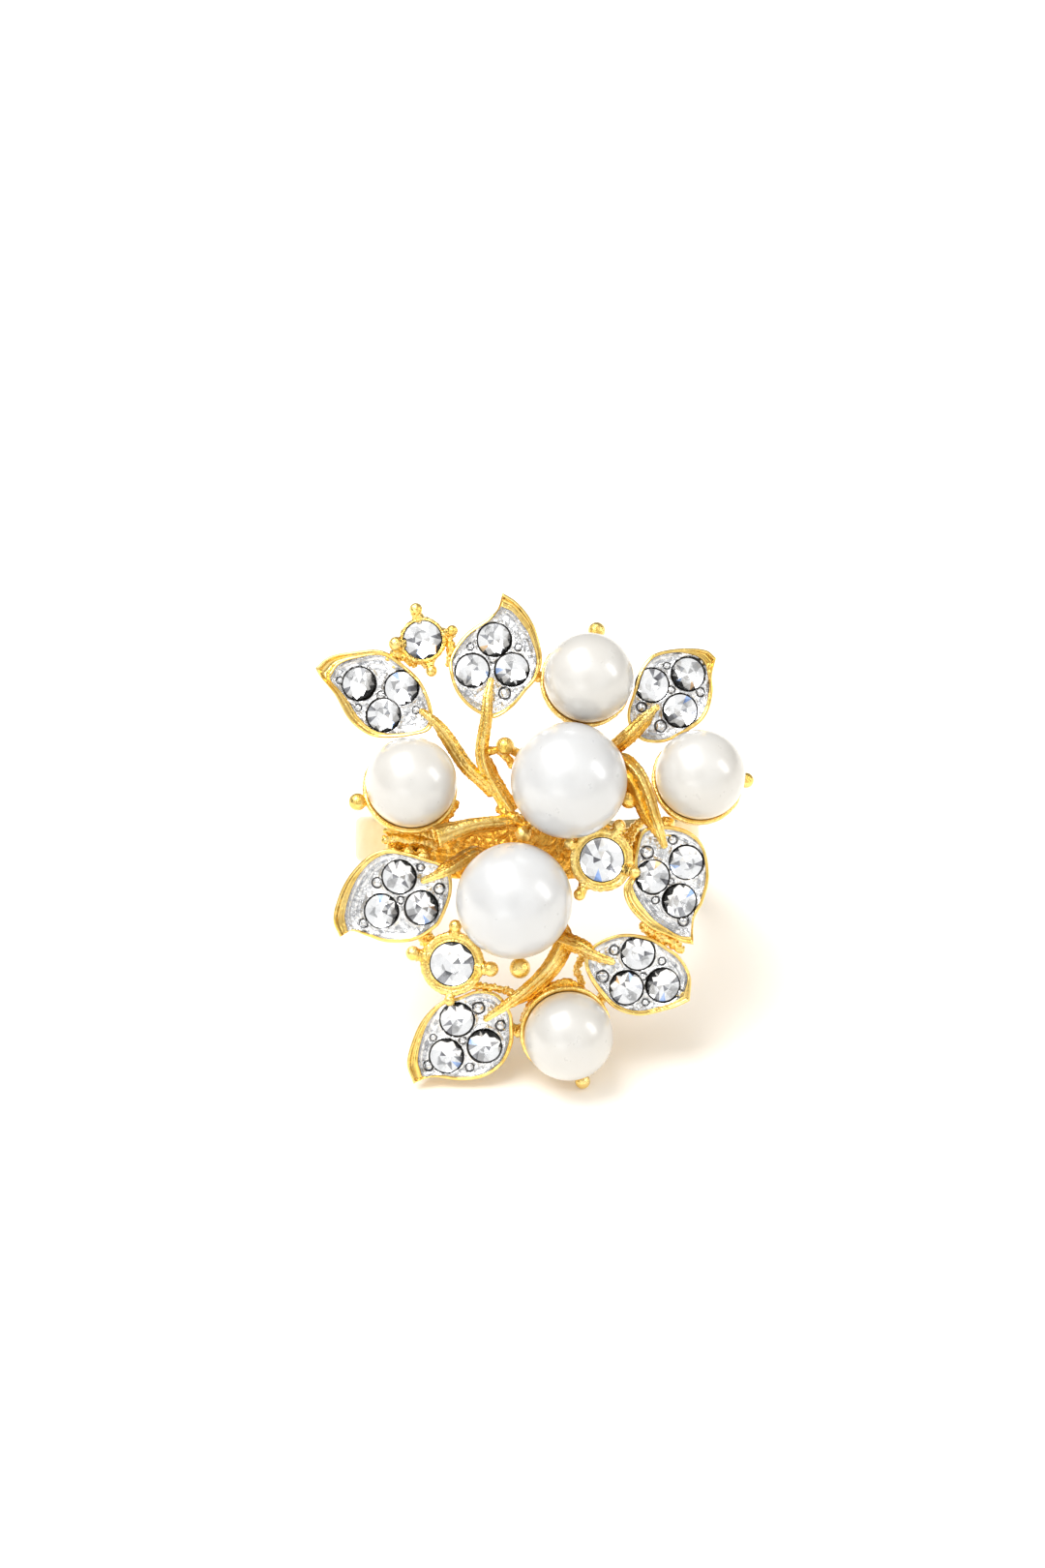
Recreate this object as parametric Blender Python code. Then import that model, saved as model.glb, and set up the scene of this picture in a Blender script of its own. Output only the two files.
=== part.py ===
"""Floral cluster cocktail ring: a flat-fronted head of seven pave leaves, six
imitation pearls and three collet-set crystals, carried by twigs on a curved
bridge that closes a plain finger band.

Everything in the head is laid out in the head frame, in millimetres:
    u  to the right across the head
    v  up along the head, which is also the axis of the finger hole
    w  out of the head, away from the finger
The head frame hangs on one empty, which leans it back until the ring rests on
its lowest leaf, its lowest bead and the back of the band, as it does on a table.
The lengths in the mesh data are metres, +Z is up.
"""

import math

import bpy
from mathutils import Matrix, Vector

# ------------------------------------------------------------------ dimensions
MM = 0.001

# finger band and bridge
BAND_INNER_R = 9.35          # 18.7 mm finger hole
BAND_OUTER_R = 10.65
BAND_SIDES = (1.27, -1.57)   # edges of the band where it is widest, along v
BAND_BACK = (0.80, -1.10)    # the same at the back, where it is slimmest
BAND_SHOULDER = (0.50, -1.95)  # and where it meets the bridge
BAND_CORNER = 0.42           # rounding of the outer edges
BAND_CENTRE_W = -12.0        # axis of the finger hole, below the head
BAND_OPEN_DEG = 41.0         # half angle closed by the bridge
BRIDGE_OUTER_R = 10.20
BRIDGE_HALF_DEG = 39.6

# pearls: centre u, v, w and radius
PEARLS = {
    "pearl_upper_large": (2.50, 3.50, 2.60, 3.51),
    "pearl_lower_large": (-0.80, -3.75, 2.60, 3.51),
    "pearl_top": (3.70, 9.70, 1.20, 2.72),
    "pearl_right": (10.45, 3.85, 1.00, 2.72),
    "pearl_left": (-7.00, 3.40, 1.40, 2.75),
    "pearl_bottom": (2.50, -11.95, 0.90, 2.69),
}
PEARL_GAP = 0.04             # bedding gap between a pearl and its cup
PEG_R = 0.36
PEG_LENGTH = 1.30
DRILL_R = 0.42
DRILL_LENGTH = 1.45

# cups: rim angle from the foot, wall, lean of the cup and the way it leans (deg
# from +u), then its round beads as u, v, w, radius
CUPS = {
    "cup_upper_large": ("pearl_upper_large", 50.0, 0.42, 0.0, 0.0,
                        [(-1.35, 5.55, 0.75, 0.50), (6.15, 2.35, 0.25, 0.50), (-0.25, 0.25, 0.35, 0.46)]),
    "cup_lower_large": ("pearl_lower_large", 50.0, 0.42, 0.0, 0.0,
                        [(-0.45, -7.85, 0.40, 0.56)]),
    "cup_top": ("pearl_top", 68.0, 0.40, 18.0, 238.0, [(4.20, 12.55, -0.35, 0.46)]),
    "cup_right": ("pearl_right", 68.0, 0.42, 20.0, 245.0, [(13.25, 3.50, -0.50, 0.41)]),
    "cup_left": ("pearl_left", 68.0, 0.46, 22.0, 256.0, [(-10.25, 2.20, 0.90, 0.47)]),
    "cup_bottom": ("pearl_bottom", 68.0, 0.46, 21.0, 120.0, [(3.35, -14.75, -1.20, 0.41)]),
}

# leaves
LEAF_SAMPLES = 30            # points round one leaf
LEAF_THICK = 1.25
LEAF_SINK = 0.35             # stone field below the rim
LEAF_BACK_INSET = 0.45
LEAF_SLOPE = 0.20            # leaves fall away from the middle of the head
STONE_R = 1.00               # 2.0 mm pave stones
STONE_GAP = 0.035
SEAT_DEPTH = 0.78

# each leaf: its middle, the height of its rim there, its outline from the tip
# round as (u, v, rim width towards the middle, rim lift) and its three stones
LEAVES = {
    "leaf_upper_left": {
        "centre": (-9.05, 8.65), "w": -0.30,
        "outline": [
            (-12.85, 10.30, 1.20, 0.50), (-12.00, 11.00, 0.90, 0.40), (-10.55, 11.30, 0.55, 0.30),
            (-8.75, 11.35, 0.40, 0.15), (-7.30, 10.35, 0.30, 0.00), (-6.35, 9.35, 0.30, 0.00),
            (-5.75, 7.80, 0.35, 0.00), (-5.85, 6.60, 0.40, 0.00), (-7.00, 6.20, 0.35, 0.00),
            (-8.50, 6.05, 0.35, 0.00), (-9.65, 6.25, 0.40, 0.05), (-10.80, 7.15, 0.45, 0.10),
            (-11.70, 8.70, 0.50, 0.15), (-12.55, 9.75, 0.80, 0.35),
        ],
        "stones": [(-10.20, 9.35), (-7.62, 9.10), (-8.72, 7.45)],
    },
    "leaf_top": {
        "centre": (-1.95, 10.75), "w": 0.10,
        "outline": [
            (-1.50, 14.85, 0.95, 0.60), (-0.70, 14.35, 0.80, 0.50), (0.05, 13.50, 0.75, 0.40),
            (0.55, 12.50, 0.60, 0.30), (0.90, 10.90, 0.45, 0.15), (0.60, 9.70, 0.35, 0.05),
            (0.00, 8.95, 0.30, 0.00), (-0.90, 7.90, 0.30, 0.00), (-1.95, 7.25, 0.40, 0.00),
            (-2.80, 7.45, 0.30, 0.00), (-3.70, 8.05, 0.30, 0.00), (-4.40, 9.00, 0.30, 0.00),
            (-4.75, 10.30, 0.30, 0.00), (-4.60, 11.15, 0.30, 0.00), (-3.90, 12.20, 0.30, 0.00),
            (-3.20, 12.80, 0.30, 0.00), (-2.35, 13.35, 0.30, 0.05), (-1.80, 13.90, 0.30, 0.20),
        ],
        "stones": [(-2.00, 12.00), (-3.32, 10.15), (-0.95, 10.20)],
    },
    "leaf_upper_right": {
        "centre": (8.95, 8.85), "w": -0.35,
        "outline": [
            (11.45, 10.90, 0.90, 0.40), (10.80, 11.40, 0.70, 0.30), (9.35, 11.50, 0.35, 0.10),
            (7.90, 11.25, 0.30, 0.00), (7.20, 10.75, 0.25, 0.00), (6.70, 9.90, 0.25, 0.00),
            (6.35, 8.65, 0.25, 0.00), (6.05, 7.65, 0.25, 0.00), (6.15, 6.80, 0.25, 0.00),
            (6.75, 6.00, 0.30, 0.00), (7.60, 5.75, 0.30, 0.00), (8.60, 5.90, 0.30, 0.00),
            (10.25, 6.80, 0.35, 0.00), (10.95, 7.65, 0.35, 0.05), (11.25, 8.85, 0.35, 0.10),
            (11.20, 9.80, 0.35, 0.15),
        ],
        "stones": [(7.55, 9.25), (9.75, 9.95), (9.25, 7.72)],
    },
    "leaf_left": {
        "centre": (-7.70, -3.75), "w": 0.60,
        "outline": [
            (-11.35, -6.00, 0.75, 0.40), (-11.75, -4.90, 1.00, 0.50), (-11.40, -3.45, 0.90, 0.50),
            (-10.70, -2.15, 0.75, 0.40), (-9.65, -1.10, 0.60, 0.30), (-8.50, -0.65, 0.40, 0.10),
            (-7.30, -0.85, 0.30, 0.00), (-5.85, -1.30, 0.30, 0.00), (-5.10, -1.60, 0.30, 0.00),
            (-4.60, -2.30, 0.30, 0.00), (-4.60, -3.45, 0.30, 0.00), (-5.15, -4.90, 0.30, 0.00),
            (-5.65, -5.50, 0.30, 0.00), (-6.85, -6.20, 0.25, 0.00), (-8.50, -6.30, 0.25, 0.00),
            (-9.65, -5.95, 0.25, 0.05), (-10.70, -5.62, 0.30, 0.20),
        ],
        "stones": [(-7.75, -2.35), (-8.82, -4.40), (-6.40, -4.20)],
    },
    "leaf_lower_left": {
        "centre": (-3.90, -12.20), "w": -0.40,
        "outline": [
            (-6.90, -14.90, 0.80, 0.30), (-7.30, -13.70, 0.85, 0.40), (-6.95, -12.20, 0.65, 0.35),
            (-6.30, -10.90, 0.50, 0.20), (-5.25, -9.90, 0.35, 0.05), (-4.15, -9.60, 0.30, 0.00),
            (-3.00, -9.20, 0.30, 0.00), (-1.75, -9.45, 0.30, 0.00), (-1.00, -10.50, 0.30, 0.00),
            (-0.85, -11.40, 0.35, 0.00), (-0.90, -12.50, 0.35, 0.00), (-1.50, -13.70, 0.30, 0.00),
            (-2.65, -14.50, 0.25, 0.00), (-4.10, -14.70, 0.25, 0.00), (-5.45, -14.52, 0.25, 0.10),
            (-6.20, -14.60, 0.30, 0.20),
        ],
        "stones": [(-4.25, -11.00), (-4.90, -13.20), (-2.60, -12.60)],
    },
    "leaf_right": {
        "centre": (8.65, -2.65), "w": 0.35,
        "outline": [
            (10.05, -6.45, 0.60, 0.20), (10.10, -4.95, 0.30, 0.10), (10.65, -3.85, 0.30, 0.00),
            (11.00, -2.30, 0.30, 0.00), (10.70, -0.55, 0.30, 0.00), (9.75, 0.45, 0.35, 0.00),
            (8.25, 0.80, 0.35, 0.00), (7.00, 0.50, 0.30, 0.00), (6.55, -0.80, 0.30, 0.00),
            (6.30, -2.10, 0.45, 0.05), (5.80, -3.05, 0.70, 0.20), (6.15, -4.20, 0.85, 0.30),
            (7.30, -5.35, 0.70, 0.30), (8.50, -5.90, 0.50, 0.25), (9.35, -6.30, 0.50, 0.20),
        ],
        "stones": [(7.60, -2.35), (9.62, -1.45), (9.20, -3.80)],
    },
    "leaf_lower_right": {
        "centre": (6.85, -8.30), "w": 0.10,
        "outline": [
            (9.85, -9.85, 0.60, 0.20), (9.90, -8.40, 0.30, 0.05), (9.35, -7.30, 0.30, 0.00),
            (8.50, -6.62, 0.30, 0.00), (7.30, -5.95, 0.25, 0.00), (5.55, -5.80, 0.25, 0.00),
            (3.95, -6.50, 0.25, 0.00), (3.45, -7.55, 0.35, 0.05), (4.00, -8.90, 0.40, 0.15),
            (5.20, -10.25, 0.40, 0.20), (6.75, -10.75, 0.40, 0.20), (8.50, -10.40, 0.45, 0.20),
            (9.35, -10.10, 0.55, 0.20),
        ],
        "stones": [(6.70, -6.98), (6.00, -9.05), (8.20, -8.90)],
    },
}
# cast links that join a leaf to its neighbour, as (from u, v, w), (to u, v, w), radius
LEAF_LINKS = {
    "leaf_left": [((-6.3, -1.7, -0.15), (-6.3, 0.02, -0.80), 0.56), ((-7.2, -1.5, -0.20), (-7.2, 0.04, -0.85), 0.58),
                  ((-8.1, -1.3, -0.25), (-8.0, 0.05, -0.90), 0.55),
                  ((-6.3, -5.4, -0.1), (-5.95, -6.12, -0.45), 0.38)],
    "leaf_top": [((0.0, 9.8, -0.45), (0.72, 9.75, -0.85), 0.36)],
    "leaf_upper_left": [((-8.0, 10.3, -0.95), (-7.9, 11.35, -1.15), 0.30)],
    "leaf_lower_left": [((-1.4, -11.5, -0.85), (-0.55, -11.7, -1.15), 0.42)],
    "leaf_right": [((8.3, 0.2, -0.1), (8.5, 0.95, -0.55), 0.45), ((7.9, -5.2, 0.0), (7.75, -5.85, -0.55), 0.32)],
    "leaf_lower_right": [((5.0, -9.3, -0.5), (4.55, -9.65, -1.25), 0.34)],
}

# collet-set crystals: middle u, v, rim height w, stone radius, rim radius, depth,
# then its four ball prongs as u, v, radius and lift over the rim
COLLETS = {
    "collet_upper_left": (-6.35, 12.00, -0.20, 1.15, 1.42, 1.40,
                          [(-6.75, 13.85, 0.32, 0.0), (-7.95, 11.75, 0.36, 0.1), (-4.55, 12.55, 0.28, 0.1), (-5.80, 10.10, 0.28, 0.0)]),
    "collet_lower_left": (-4.55, -7.60, 0.75, 1.36, 1.72, 1.75,
                          [(-6.90, -6.95, 0.36, 0.0), (-2.20, -7.90, 0.38, 0.0), (-4.35, -5.30, 0.32, 0.0), (-4.70, -9.80, 0.28, 0.0)]),
    "collet_centre_right": (4.50, -1.30, 0.95, 1.36, 1.70, 1.75,
                            [(5.55, 0.75, 0.33, 0.0), (6.45, -2.05, 0.30, 0.50), (3.15, -3.40, 0.30, 0.0), (2.50, -0.30, 0.30, 0.0)]),
}

# twigs: name, half width at the leaf and at the root, and the centre line as
# (u, v, w); a w of None lies on the named leaf
TWIG_LIFT = 0.36
TWIGS = {
    "twig_upper_left": ("leaf_upper_left", 0.22, 0.36,
                        [(-6.35, 7.65, None), (-5.55, 7.00, None), (-4.95, 6.35, 0.85), (-4.25, 5.30, 0.75),
                         (-3.55, 4.30, 0.55), (-3.15, 3.85, 0.45)]),
    "twig_top": ("leaf_top", 0.22, 0.36,
                 [(-2.20, 9.50, None), (-2.40, 8.55, None), (-2.50, 7.20, 1.05), (-2.75, 5.30, 0.75),
                  (-2.45, 4.00, 0.50), (-1.95, 2.85, 0.25), (-1.50, 2.05, 0.10)]),
    "twig_upper_right": ("leaf_upper_right", 0.22, 0.34,
                         [(7.80, 7.90, None), (7.00, 7.20, None), (6.15, 6.35, 0.95), (5.45, 5.75, 0.25),
                          (4.95, 5.30, -0.60)]),
    "twig_right": ("leaf_right", 0.24, 0.44,
                   [(8.25, -0.40, None), (7.80, 1.00, None), (7.15, 2.95, 0.95), (6.20, 4.20, 0.35),
                    (4.90, 3.35, -1.30), (3.75, 2.10, -1.55)]),
    "twig_left": ("leaf_left", 0.22, 0.34,
                  [(-6.25, -2.55, None), (-4.95, -2.00, None), (-3.90, -1.40, 0.85), (-3.20, -1.00, 0.25),
                   (-2.60, -1.15, -0.75)]),
    "twig_lower_left": ("leaf_lower_left", 0.22, 0.38,
                        [(-2.45, -10.90, None), (-0.90, -9.80, None), (0.60, -8.55, 0.65), (1.60, -7.35, 0.50),
                         (2.05, -6.10, -0.10), (1.30, -5.00, -1.40), (0.30, -4.65, -1.90)]),
    "twig_lower_right": ("leaf_lower_right", 0.24, 0.34,
                         [(5.10, -7.45, None), (3.90, -7.00, None), (3.10, -6.60, 1.00), (2.65, -6.42, 0.75)]),
}
STEM = [(-5.45, 0.10, 1.45, 0.57), (-4.70, 0.38, 1.25, 0.49), (-3.20, 0.85, 0.85, 0.38), (-1.45, 1.05, 0.20, 0.34),
        (-0.10, 1.15, -0.75, 0.34), (0.90, 1.10, -1.42, 0.32), (1.75, 0.90, -1.55, 0.30)]
STEM_HOLLOW = 0.70           # depth of the cut open end

GOLD = (0.93, 0.66, 0.26)
RHODIUM = (0.78, 0.79, 0.81)
PEARL = (0.93, 0.91, 0.88)
CRYSTAL = (0.93, 0.95, 0.98)

# ------------------------------------------------------------------- the scene
for item in list(bpy.data.objects):
    bpy.data.objects.remove(item, do_unlink=True)

HEAD = bpy.data.objects.new("head_frame", None)
bpy.context.scene.collection.objects.link(HEAD)


def material(name, colour, roughness, metallic):
    m = bpy.data.materials.new(name)
    m.use_nodes = True
    shader = m.node_tree.nodes["Principled BSDF"]
    shader.inputs["Base Color"].default_value = (*colour, 1.0)
    shader.inputs["Roughness"].default_value = roughness
    shader.inputs["Metallic"].default_value = metallic
    m.diffuse_color = (*colour, 1.0)
    return m


def link(name, verts, faces, mat, cutter=False):
    """An object in the head frame from points in millimetres."""
    mesh = bpy.data.meshes.new(name)
    mesh.from_pydata([tuple(c * MM for c in v) for v in verts], [], faces)
    mesh.update()
    if mat is not None:
        mesh.materials.append(mat)
    ob = bpy.data.objects.new(name, mesh)
    bpy.context.scene.collection.objects.link(ob)
    ob.parent = HEAD
    if cutter:
        ob.hide_render = True
        ob.display_type = "WIRE"
    return ob


def boolean(target, tool, operation):
    mod = target.modifiers.new(tool.name, "BOOLEAN")
    mod.operation = operation
    mod.solver = "EXACT"
    mod.object = tool


def smooth(ob, degrees=35.0):
    ob.data.shade_smooth()
    ob.data.set_sharp_from_angle(angle=math.radians(degrees))


# ------------------------------------------------------------ shape generators
def lathe(profile, segments):
    """A closed turned body. The profile runs from the foot to the head as
    (radius, height); points on the axis become poles."""
    verts, faces, rings = [], [], []
    for r, z in profile:
        if r < 1e-9:
            rings.append([len(verts)])
            verts.append(Vector((0.0, 0.0, z)))
        else:
            rings.append(list(range(len(verts), len(verts) + segments)))
            for i in range(segments):
                a = 2 * math.pi * i / segments
                verts.append(Vector((r * math.cos(a), r * math.sin(a), z)))
    for lower, upper in zip(rings, rings[1:]):
        for i in range(segments):
            j = (i + 1) % segments
            if len(lower) == 1:
                faces.append((lower[0], upper[j], upper[i]))
            elif len(upper) == 1:
                faces.append((lower[i], lower[j], upper[0]))
            else:
                faces.append((lower[i], lower[j], upper[j], upper[i]))
    if len(rings[0]) > 1:
        faces.append(tuple(reversed(rings[0])))
    if len(rings[-1]) > 1:
        faces.append(tuple(rings[-1]))
    return verts, faces


def placed(shape, origin, axis=Vector((0, 0, 1))):
    """The same body with its own +Z turned to axis and its origin moved."""
    verts, faces = shape
    turn = Vector((0, 0, 1)).rotation_difference(Vector(axis).normalized()).to_matrix()
    origin = Vector(origin)
    return [turn @ v + origin for v in verts], faces


def joined(shapes):
    verts, faces = [], []
    for v, f in shapes:
        base = len(verts)
        verts += v
        faces += [tuple(base + i for i in face) for face in f]
    return verts, faces


def rod(start, end, radius, segments=8):
    start, end = Vector(start), Vector(end)
    return placed(lathe([(radius, 0.0), (radius, (end - start).length)], segments), start, end - start)


def bead_on_stalk(foot, middle, stalk_r, bead_r, segments=8):
    """A round bead with the short stalk that carries it, as one turned body."""
    foot, middle = Vector(foot), Vector(middle)
    reach = (middle - foot).length
    start = math.degrees(math.asin(stalk_r / bead_r))
    profile = [(stalk_r, 0.0)]
    profile += [(bead_r * math.sin(math.radians(t)), reach - bead_r * math.cos(math.radians(t)))
                for t in (start, 50.0, 80.0, 110.0, 140.0)]
    profile.append((0.0, reach + bead_r))
    return placed(lathe(profile, segments), foot, middle - foot)


def spline(points, samples, closed=False):
    """Catmull-Rom through the points, sampled evenly by length; any number of
    values may follow the coordinates and is carried along."""
    pts = [list(map(float, p)) for p in points]
    n = len(pts)
    spans = n if closed else n - 1

    def at(i):
        if closed:
            return pts[i % n]
        if i < 0:
            return [2 * a - b for a, b in zip(pts[0], pts[1])]
        if i >= n:
            return [2 * a - b for a, b in zip(pts[-1], pts[-2])]
        return pts[i]

    fine = []
    steps = 24
    for s in range(spans):
        p0, p1, p2, p3 = at(s - 1), at(s), at(s + 1), at(s + 2)
        for k in range(steps):
            t = k / steps
            fine.append([0.5 * (2 * b + (c - a) * t + (2 * a - 5 * b + 4 * c - d) * t * t
                                + (3 * b - a - 3 * c + d) * t * t * t)
                         for a, b, c, d in zip(p0, p1, p2, p3)])
    fine.append(list(at(spans)))
    length = [0.0]
    for a, b in zip(fine, fine[1:]):
        length.append(length[-1] + math.dist(a[:2], b[:2]) + 1e-9)
    out = []
    count = samples if closed else samples - 1
    for i in range(samples):
        want = length[-1] * i / count
        k = max(j for j in range(len(length)) if length[j] <= want + 1e-12)
        if k >= len(fine) - 1:
            out.append(fine[-1])
            continue
        f = (want - length[k]) / (length[k + 1] - length[k])
        out.append([a + (b - a) * f for a, b in zip(fine[k], fine[k + 1])])
    return out


def tube(line, sides, samples):
    """A closed round bar along (u, v, w, radius) points."""
    pts = spline(line, samples)
    centre = [Vector(p[:3]) for p in pts]
    verts, faces = [], []
    side = Vector((0, 0, 1))
    for i, c in enumerate(centre):
        ahead = (centre[min(i + 1, len(centre) - 1)] - centre[max(i - 1, 0)]).normalized()
        side = (side - ahead * side.dot(ahead)).normalized()
        across = ahead.cross(side)
        for k in range(sides):
            a = 2 * math.pi * k / sides
            verts.append(c + (side * math.cos(a) + across * math.sin(a)) * pts[i][3])
    for i in range(len(centre) - 1):
        for k in range(sides):
            j = (k + 1) % sides
            a, b = i * sides, (i + 1) * sides
            faces.append((a + k, a + j, b + j, b + k))
    faces.append(tuple(reversed(range(sides))))
    faces.append(tuple(range(len(verts) - sides, len(verts))))
    return verts, faces


# ------------------------------------------------------------ leaf construction
def away(u, v):
    """Unit direction from the middle of the head."""
    r = math.hypot(u, v)
    return u / r, v / r


def leaf_height(leaf, u, v):
    """Height of the leaf's rim plane above u, v."""
    cu, cv = leaf["centre"]
    a, b = away(cu, cv)
    return leaf["w"] - LEAF_SLOPE * ((u - cu) * a + (v - cv) * b)


def leaf_normal(leaf):
    a, b = away(*leaf["centre"])
    return Vector((LEAF_SLOPE * a, LEAF_SLOPE * b, 1.0)).normalized()


def leaf_outline(leaf, samples):
    """Points round the leaf from its tip, each (u, v, rim width, rim lift); the
    tip keeps its point because the curve starts and ends there."""
    line = leaf["outline"] + [leaf["outline"][0]]
    return spline(line, samples + 1)[:-1]


def inset(point, centre, distance):
    du, dv = centre[0] - point[0], centre[1] - point[1]
    r = math.hypot(du, dv)
    k = min(distance / r, 0.9)
    return point[0] + du * k, point[1] + dv * k


def leaf_shape(leaf):
    """The casting: a shallow dish with a raised rim that flares at the tip."""
    centre = leaf["centre"]
    edge = leaf_outline(leaf, LEAF_SAMPLES)
    rings = [
        [(*inset(p, centre, LEAF_BACK_INSET), -LEAF_THICK) for p in edge],
        [(p[0], p[1], p[3] - 0.45) for p in edge],
        [(*inset(p, centre, 0.10), p[3]) for p in edge],
        [(*inset(p, centre, p[2]), 0.35 * p[3]) for p in edge],
        [(*inset(p, centre, p[2] + 0.12), -LEAF_SINK) for p in edge],
    ]
    n = len(edge)
    verts = [Vector((u, v, leaf_height(leaf, u, v) + h)) for ring in rings for u, v, h in ring]
    turn = sum(edge[i][0] * edge[(i + 1) % n][1] - edge[(i + 1) % n][0] * edge[i][1] for i in range(n))
    faces = []
    for r in range(len(rings) - 1):
        for i in range(n):
            j = (i + 1) % n
            faces.append((r * n + i, r * n + j, (r + 1) * n + j, (r + 1) * n + i))
    faces.append(tuple(reversed(range(n))))
    faces.append(tuple(range((len(rings) - 1) * n, len(rings) * n)))
    if turn < 0:
        faces = [tuple(reversed(f)) for f in faces]
    return verts, faces


def brilliant(radius, segments):
    """A round cut stone with its girdle at height 0."""
    return lathe([(0.0, -0.72 * radius), (radius, -0.04), (radius, 0.02),
                  (0.56 * radius, 0.27 * radius)], segments)


# --------------------------------------------------------------------- pieces
gold = material("gold_plating", GOLD, 0.22, 1.0)
rhodium = material("rhodium_plating", RHODIUM, 0.18, 1.0)
nacre = material("imitation_pearl", PEARL, 0.25, 0.0)
glass = material("clear_crystal", CRYSTAL, 0.02, 0.0)


def swept_arc(section, start_deg, end_deg, steps):
    """A closed bar bent round the axis of the finger hole. section(angle) gives
    its outline as (radius, v), going round with the metal on the left."""
    verts, faces = [], []
    for i in range(steps + 1):
        a = math.radians(start_deg + (end_deg - start_deg) * i / steps)
        outline = section(math.degrees(a))
        for r, v in outline:
            verts.append(Vector((r * math.sin(a), v, BAND_CENTRE_W + r * math.cos(a))))
    n = len(verts) // (steps + 1)
    for i in range(steps):
        for k in range(n):
            j = (k + 1) % n
            faces.append((i * n + k, (i + 1) * n + k, (i + 1) * n + j, i * n + j))
    faces.append(tuple(range(n)))
    faces.append(tuple(reversed(range(len(verts) - n, len(verts)))))
    return verts, faces


def eased(x, start, end):
    t = min(1.0, max(0.0, (x - start) / (end - start)))
    return t * t * (3 - 2 * t)


def band_edges(deg):
    """Upper and lower edge of the band at an angle from the head: shoulders at
    the bridge, flat parallel flanks, then a taper to the back."""
    deg = min(deg, 360.0 - deg)
    front = eased(deg, BAND_OPEN_DEG, 60.0)
    back = eased(deg, 104.0, 172.0)
    return tuple(shoulder + (side - shoulder) * front + (rear - side) * back
                 for shoulder, side, rear in zip(BAND_SHOULDER, BAND_SIDES, BAND_BACK))


def band_section(deg):
    high, low = band_edges(deg)
    b = BAND_CORNER
    c = b * (1 - math.sqrt(0.5))
    ro, ri = BAND_OUTER_R, BAND_INNER_R
    return [(ri, low + 0.22), (ri + 0.16, low), (ro - b, low), (ro - c, low + c), (ro, low + b),
            (ro, high - b), (ro - c, high - c), (ro - b, high), (ri + 0.16, high), (ri, high - 0.22)]


def bridge_section(deg):
    """Wider in the middle, with a lobe under each large pearl."""
    u = BRIDGE_OUTER_R * math.sin(math.radians(deg))
    fade = eased(BRIDGE_HALF_DEG - abs(deg), 0.0, 9.0)
    high = BAND_SHOULDER[0] + 0.25 * fade + 2.10 * fade * math.exp(-((u - 2.4) / 1.6) ** 2)
    low = BAND_SHOULDER[1] - 0.50 * fade - 1.65 * fade * math.exp(-((u + 0.8) / 1.9) ** 2)
    ri, ro = BAND_INNER_R, BRIDGE_OUTER_R
    return [(ri, low + 0.2), (ri + 0.2, low), (ro - 0.25, low), (ro, low + 0.25),
            (ro, high - 0.25), (ro - 0.25, high), (ri + 0.2, high), (ri, high - 0.2)]


band = link("finger_band", *swept_arc(band_section, BAND_OPEN_DEG, 360.0 - BAND_OPEN_DEG, 44), gold)
smooth(band)
bridge = link("head_bridge", *swept_arc(bridge_section, -BRIDGE_HALF_DEG, BRIDGE_HALF_DEG, 16), gold)
smooth(bridge)

PEARL_SEGMENTS, PEARL_RINGS = 16, 12


def cup_axis(lean, way):
    """Unit vector from the cup's foot to the pearl's middle."""
    s, c = math.sin(math.radians(lean)), math.cos(math.radians(lean))
    a = math.radians(way)
    return Vector((-s * math.cos(a), -s * math.sin(a), c))


for name, (pearl, rim_deg, wall, lean, way, beads) in CUPS.items():
    pu, pv, pw, pr = PEARLS[pearl]
    middle = Vector((pu, pv, pw))
    axis = cup_axis(lean, way)
    step = 180.0 / PEARL_RINGS
    ra, rb = pr + PEARL_GAP, pr + PEARL_GAP + wall
    inner = [(ra * math.sin(math.radians(t)), -ra * math.cos(math.radians(t)))
             for t in [step * k for k in range(1, 12) if step * k < rim_deg - 3] + [rim_deg]]
    outer = [(rb * math.sin(math.radians(t)), -rb * math.cos(math.radians(t)))
             for t in [step * k for k in range(1, 12) if step * k < rim_deg - 3] + [rim_deg]]
    profile = ([(0.0, -rb)] + outer + list(reversed(inner))
               + [(PEG_R, -ra), (PEG_R, -ra + PEG_LENGTH), (0.0, -ra + PEG_LENGTH)])
    cup = link(name, *placed(lathe(profile, PEARL_SEGMENTS), middle, axis), gold)
    extras = []
    for bu, bv, bw, br in beads:
        bead = Vector((bu, bv, bw))
        towards = (middle - bead).normalized()
        # the neck runs down the outside of the cup, so it never meets the pearl
        foot = middle - towards * (ra + 0.5 * wall)
        off = (foot - middle).normalized()
        polar = math.degrees(math.acos(max(-1.0, min(1.0, off.dot(-axis)))))
        if polar > rim_deg - 12:
            flat = (off + axis * off.dot(-axis)).normalized()
            t = math.radians(rim_deg - 12)
            foot = middle + (flat * math.sin(t) - axis * math.cos(t)) * (ra + 0.5 * wall)
        extras.append(bead_on_stalk(foot, bead, 0.24, br))
    tool = link(name + "_beads", *joined(extras), None, cutter=True)
    boolean(cup, tool, "UNION")
    smooth(cup)

    step = math.pi / PEARL_RINGS
    hole = math.asin(DRILL_R / pr)
    outer = [(DRILL_R, -math.sqrt(pr * pr - DRILL_R * DRILL_R))]
    outer += [(pr * math.sin(step * k), -pr * math.cos(step * k)) for k in range(1, PEARL_RINGS) if step * k > hole * 1.2]
    outer += [(0.0, pr)]
    body = [(0.0, -pr + DRILL_LENGTH), (DRILL_R, -pr + DRILL_LENGTH)] + outer
    bead = link(pearl, *placed(lathe(body, PEARL_SEGMENTS), middle, axis), nacre)
    smooth(bead)

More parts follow.
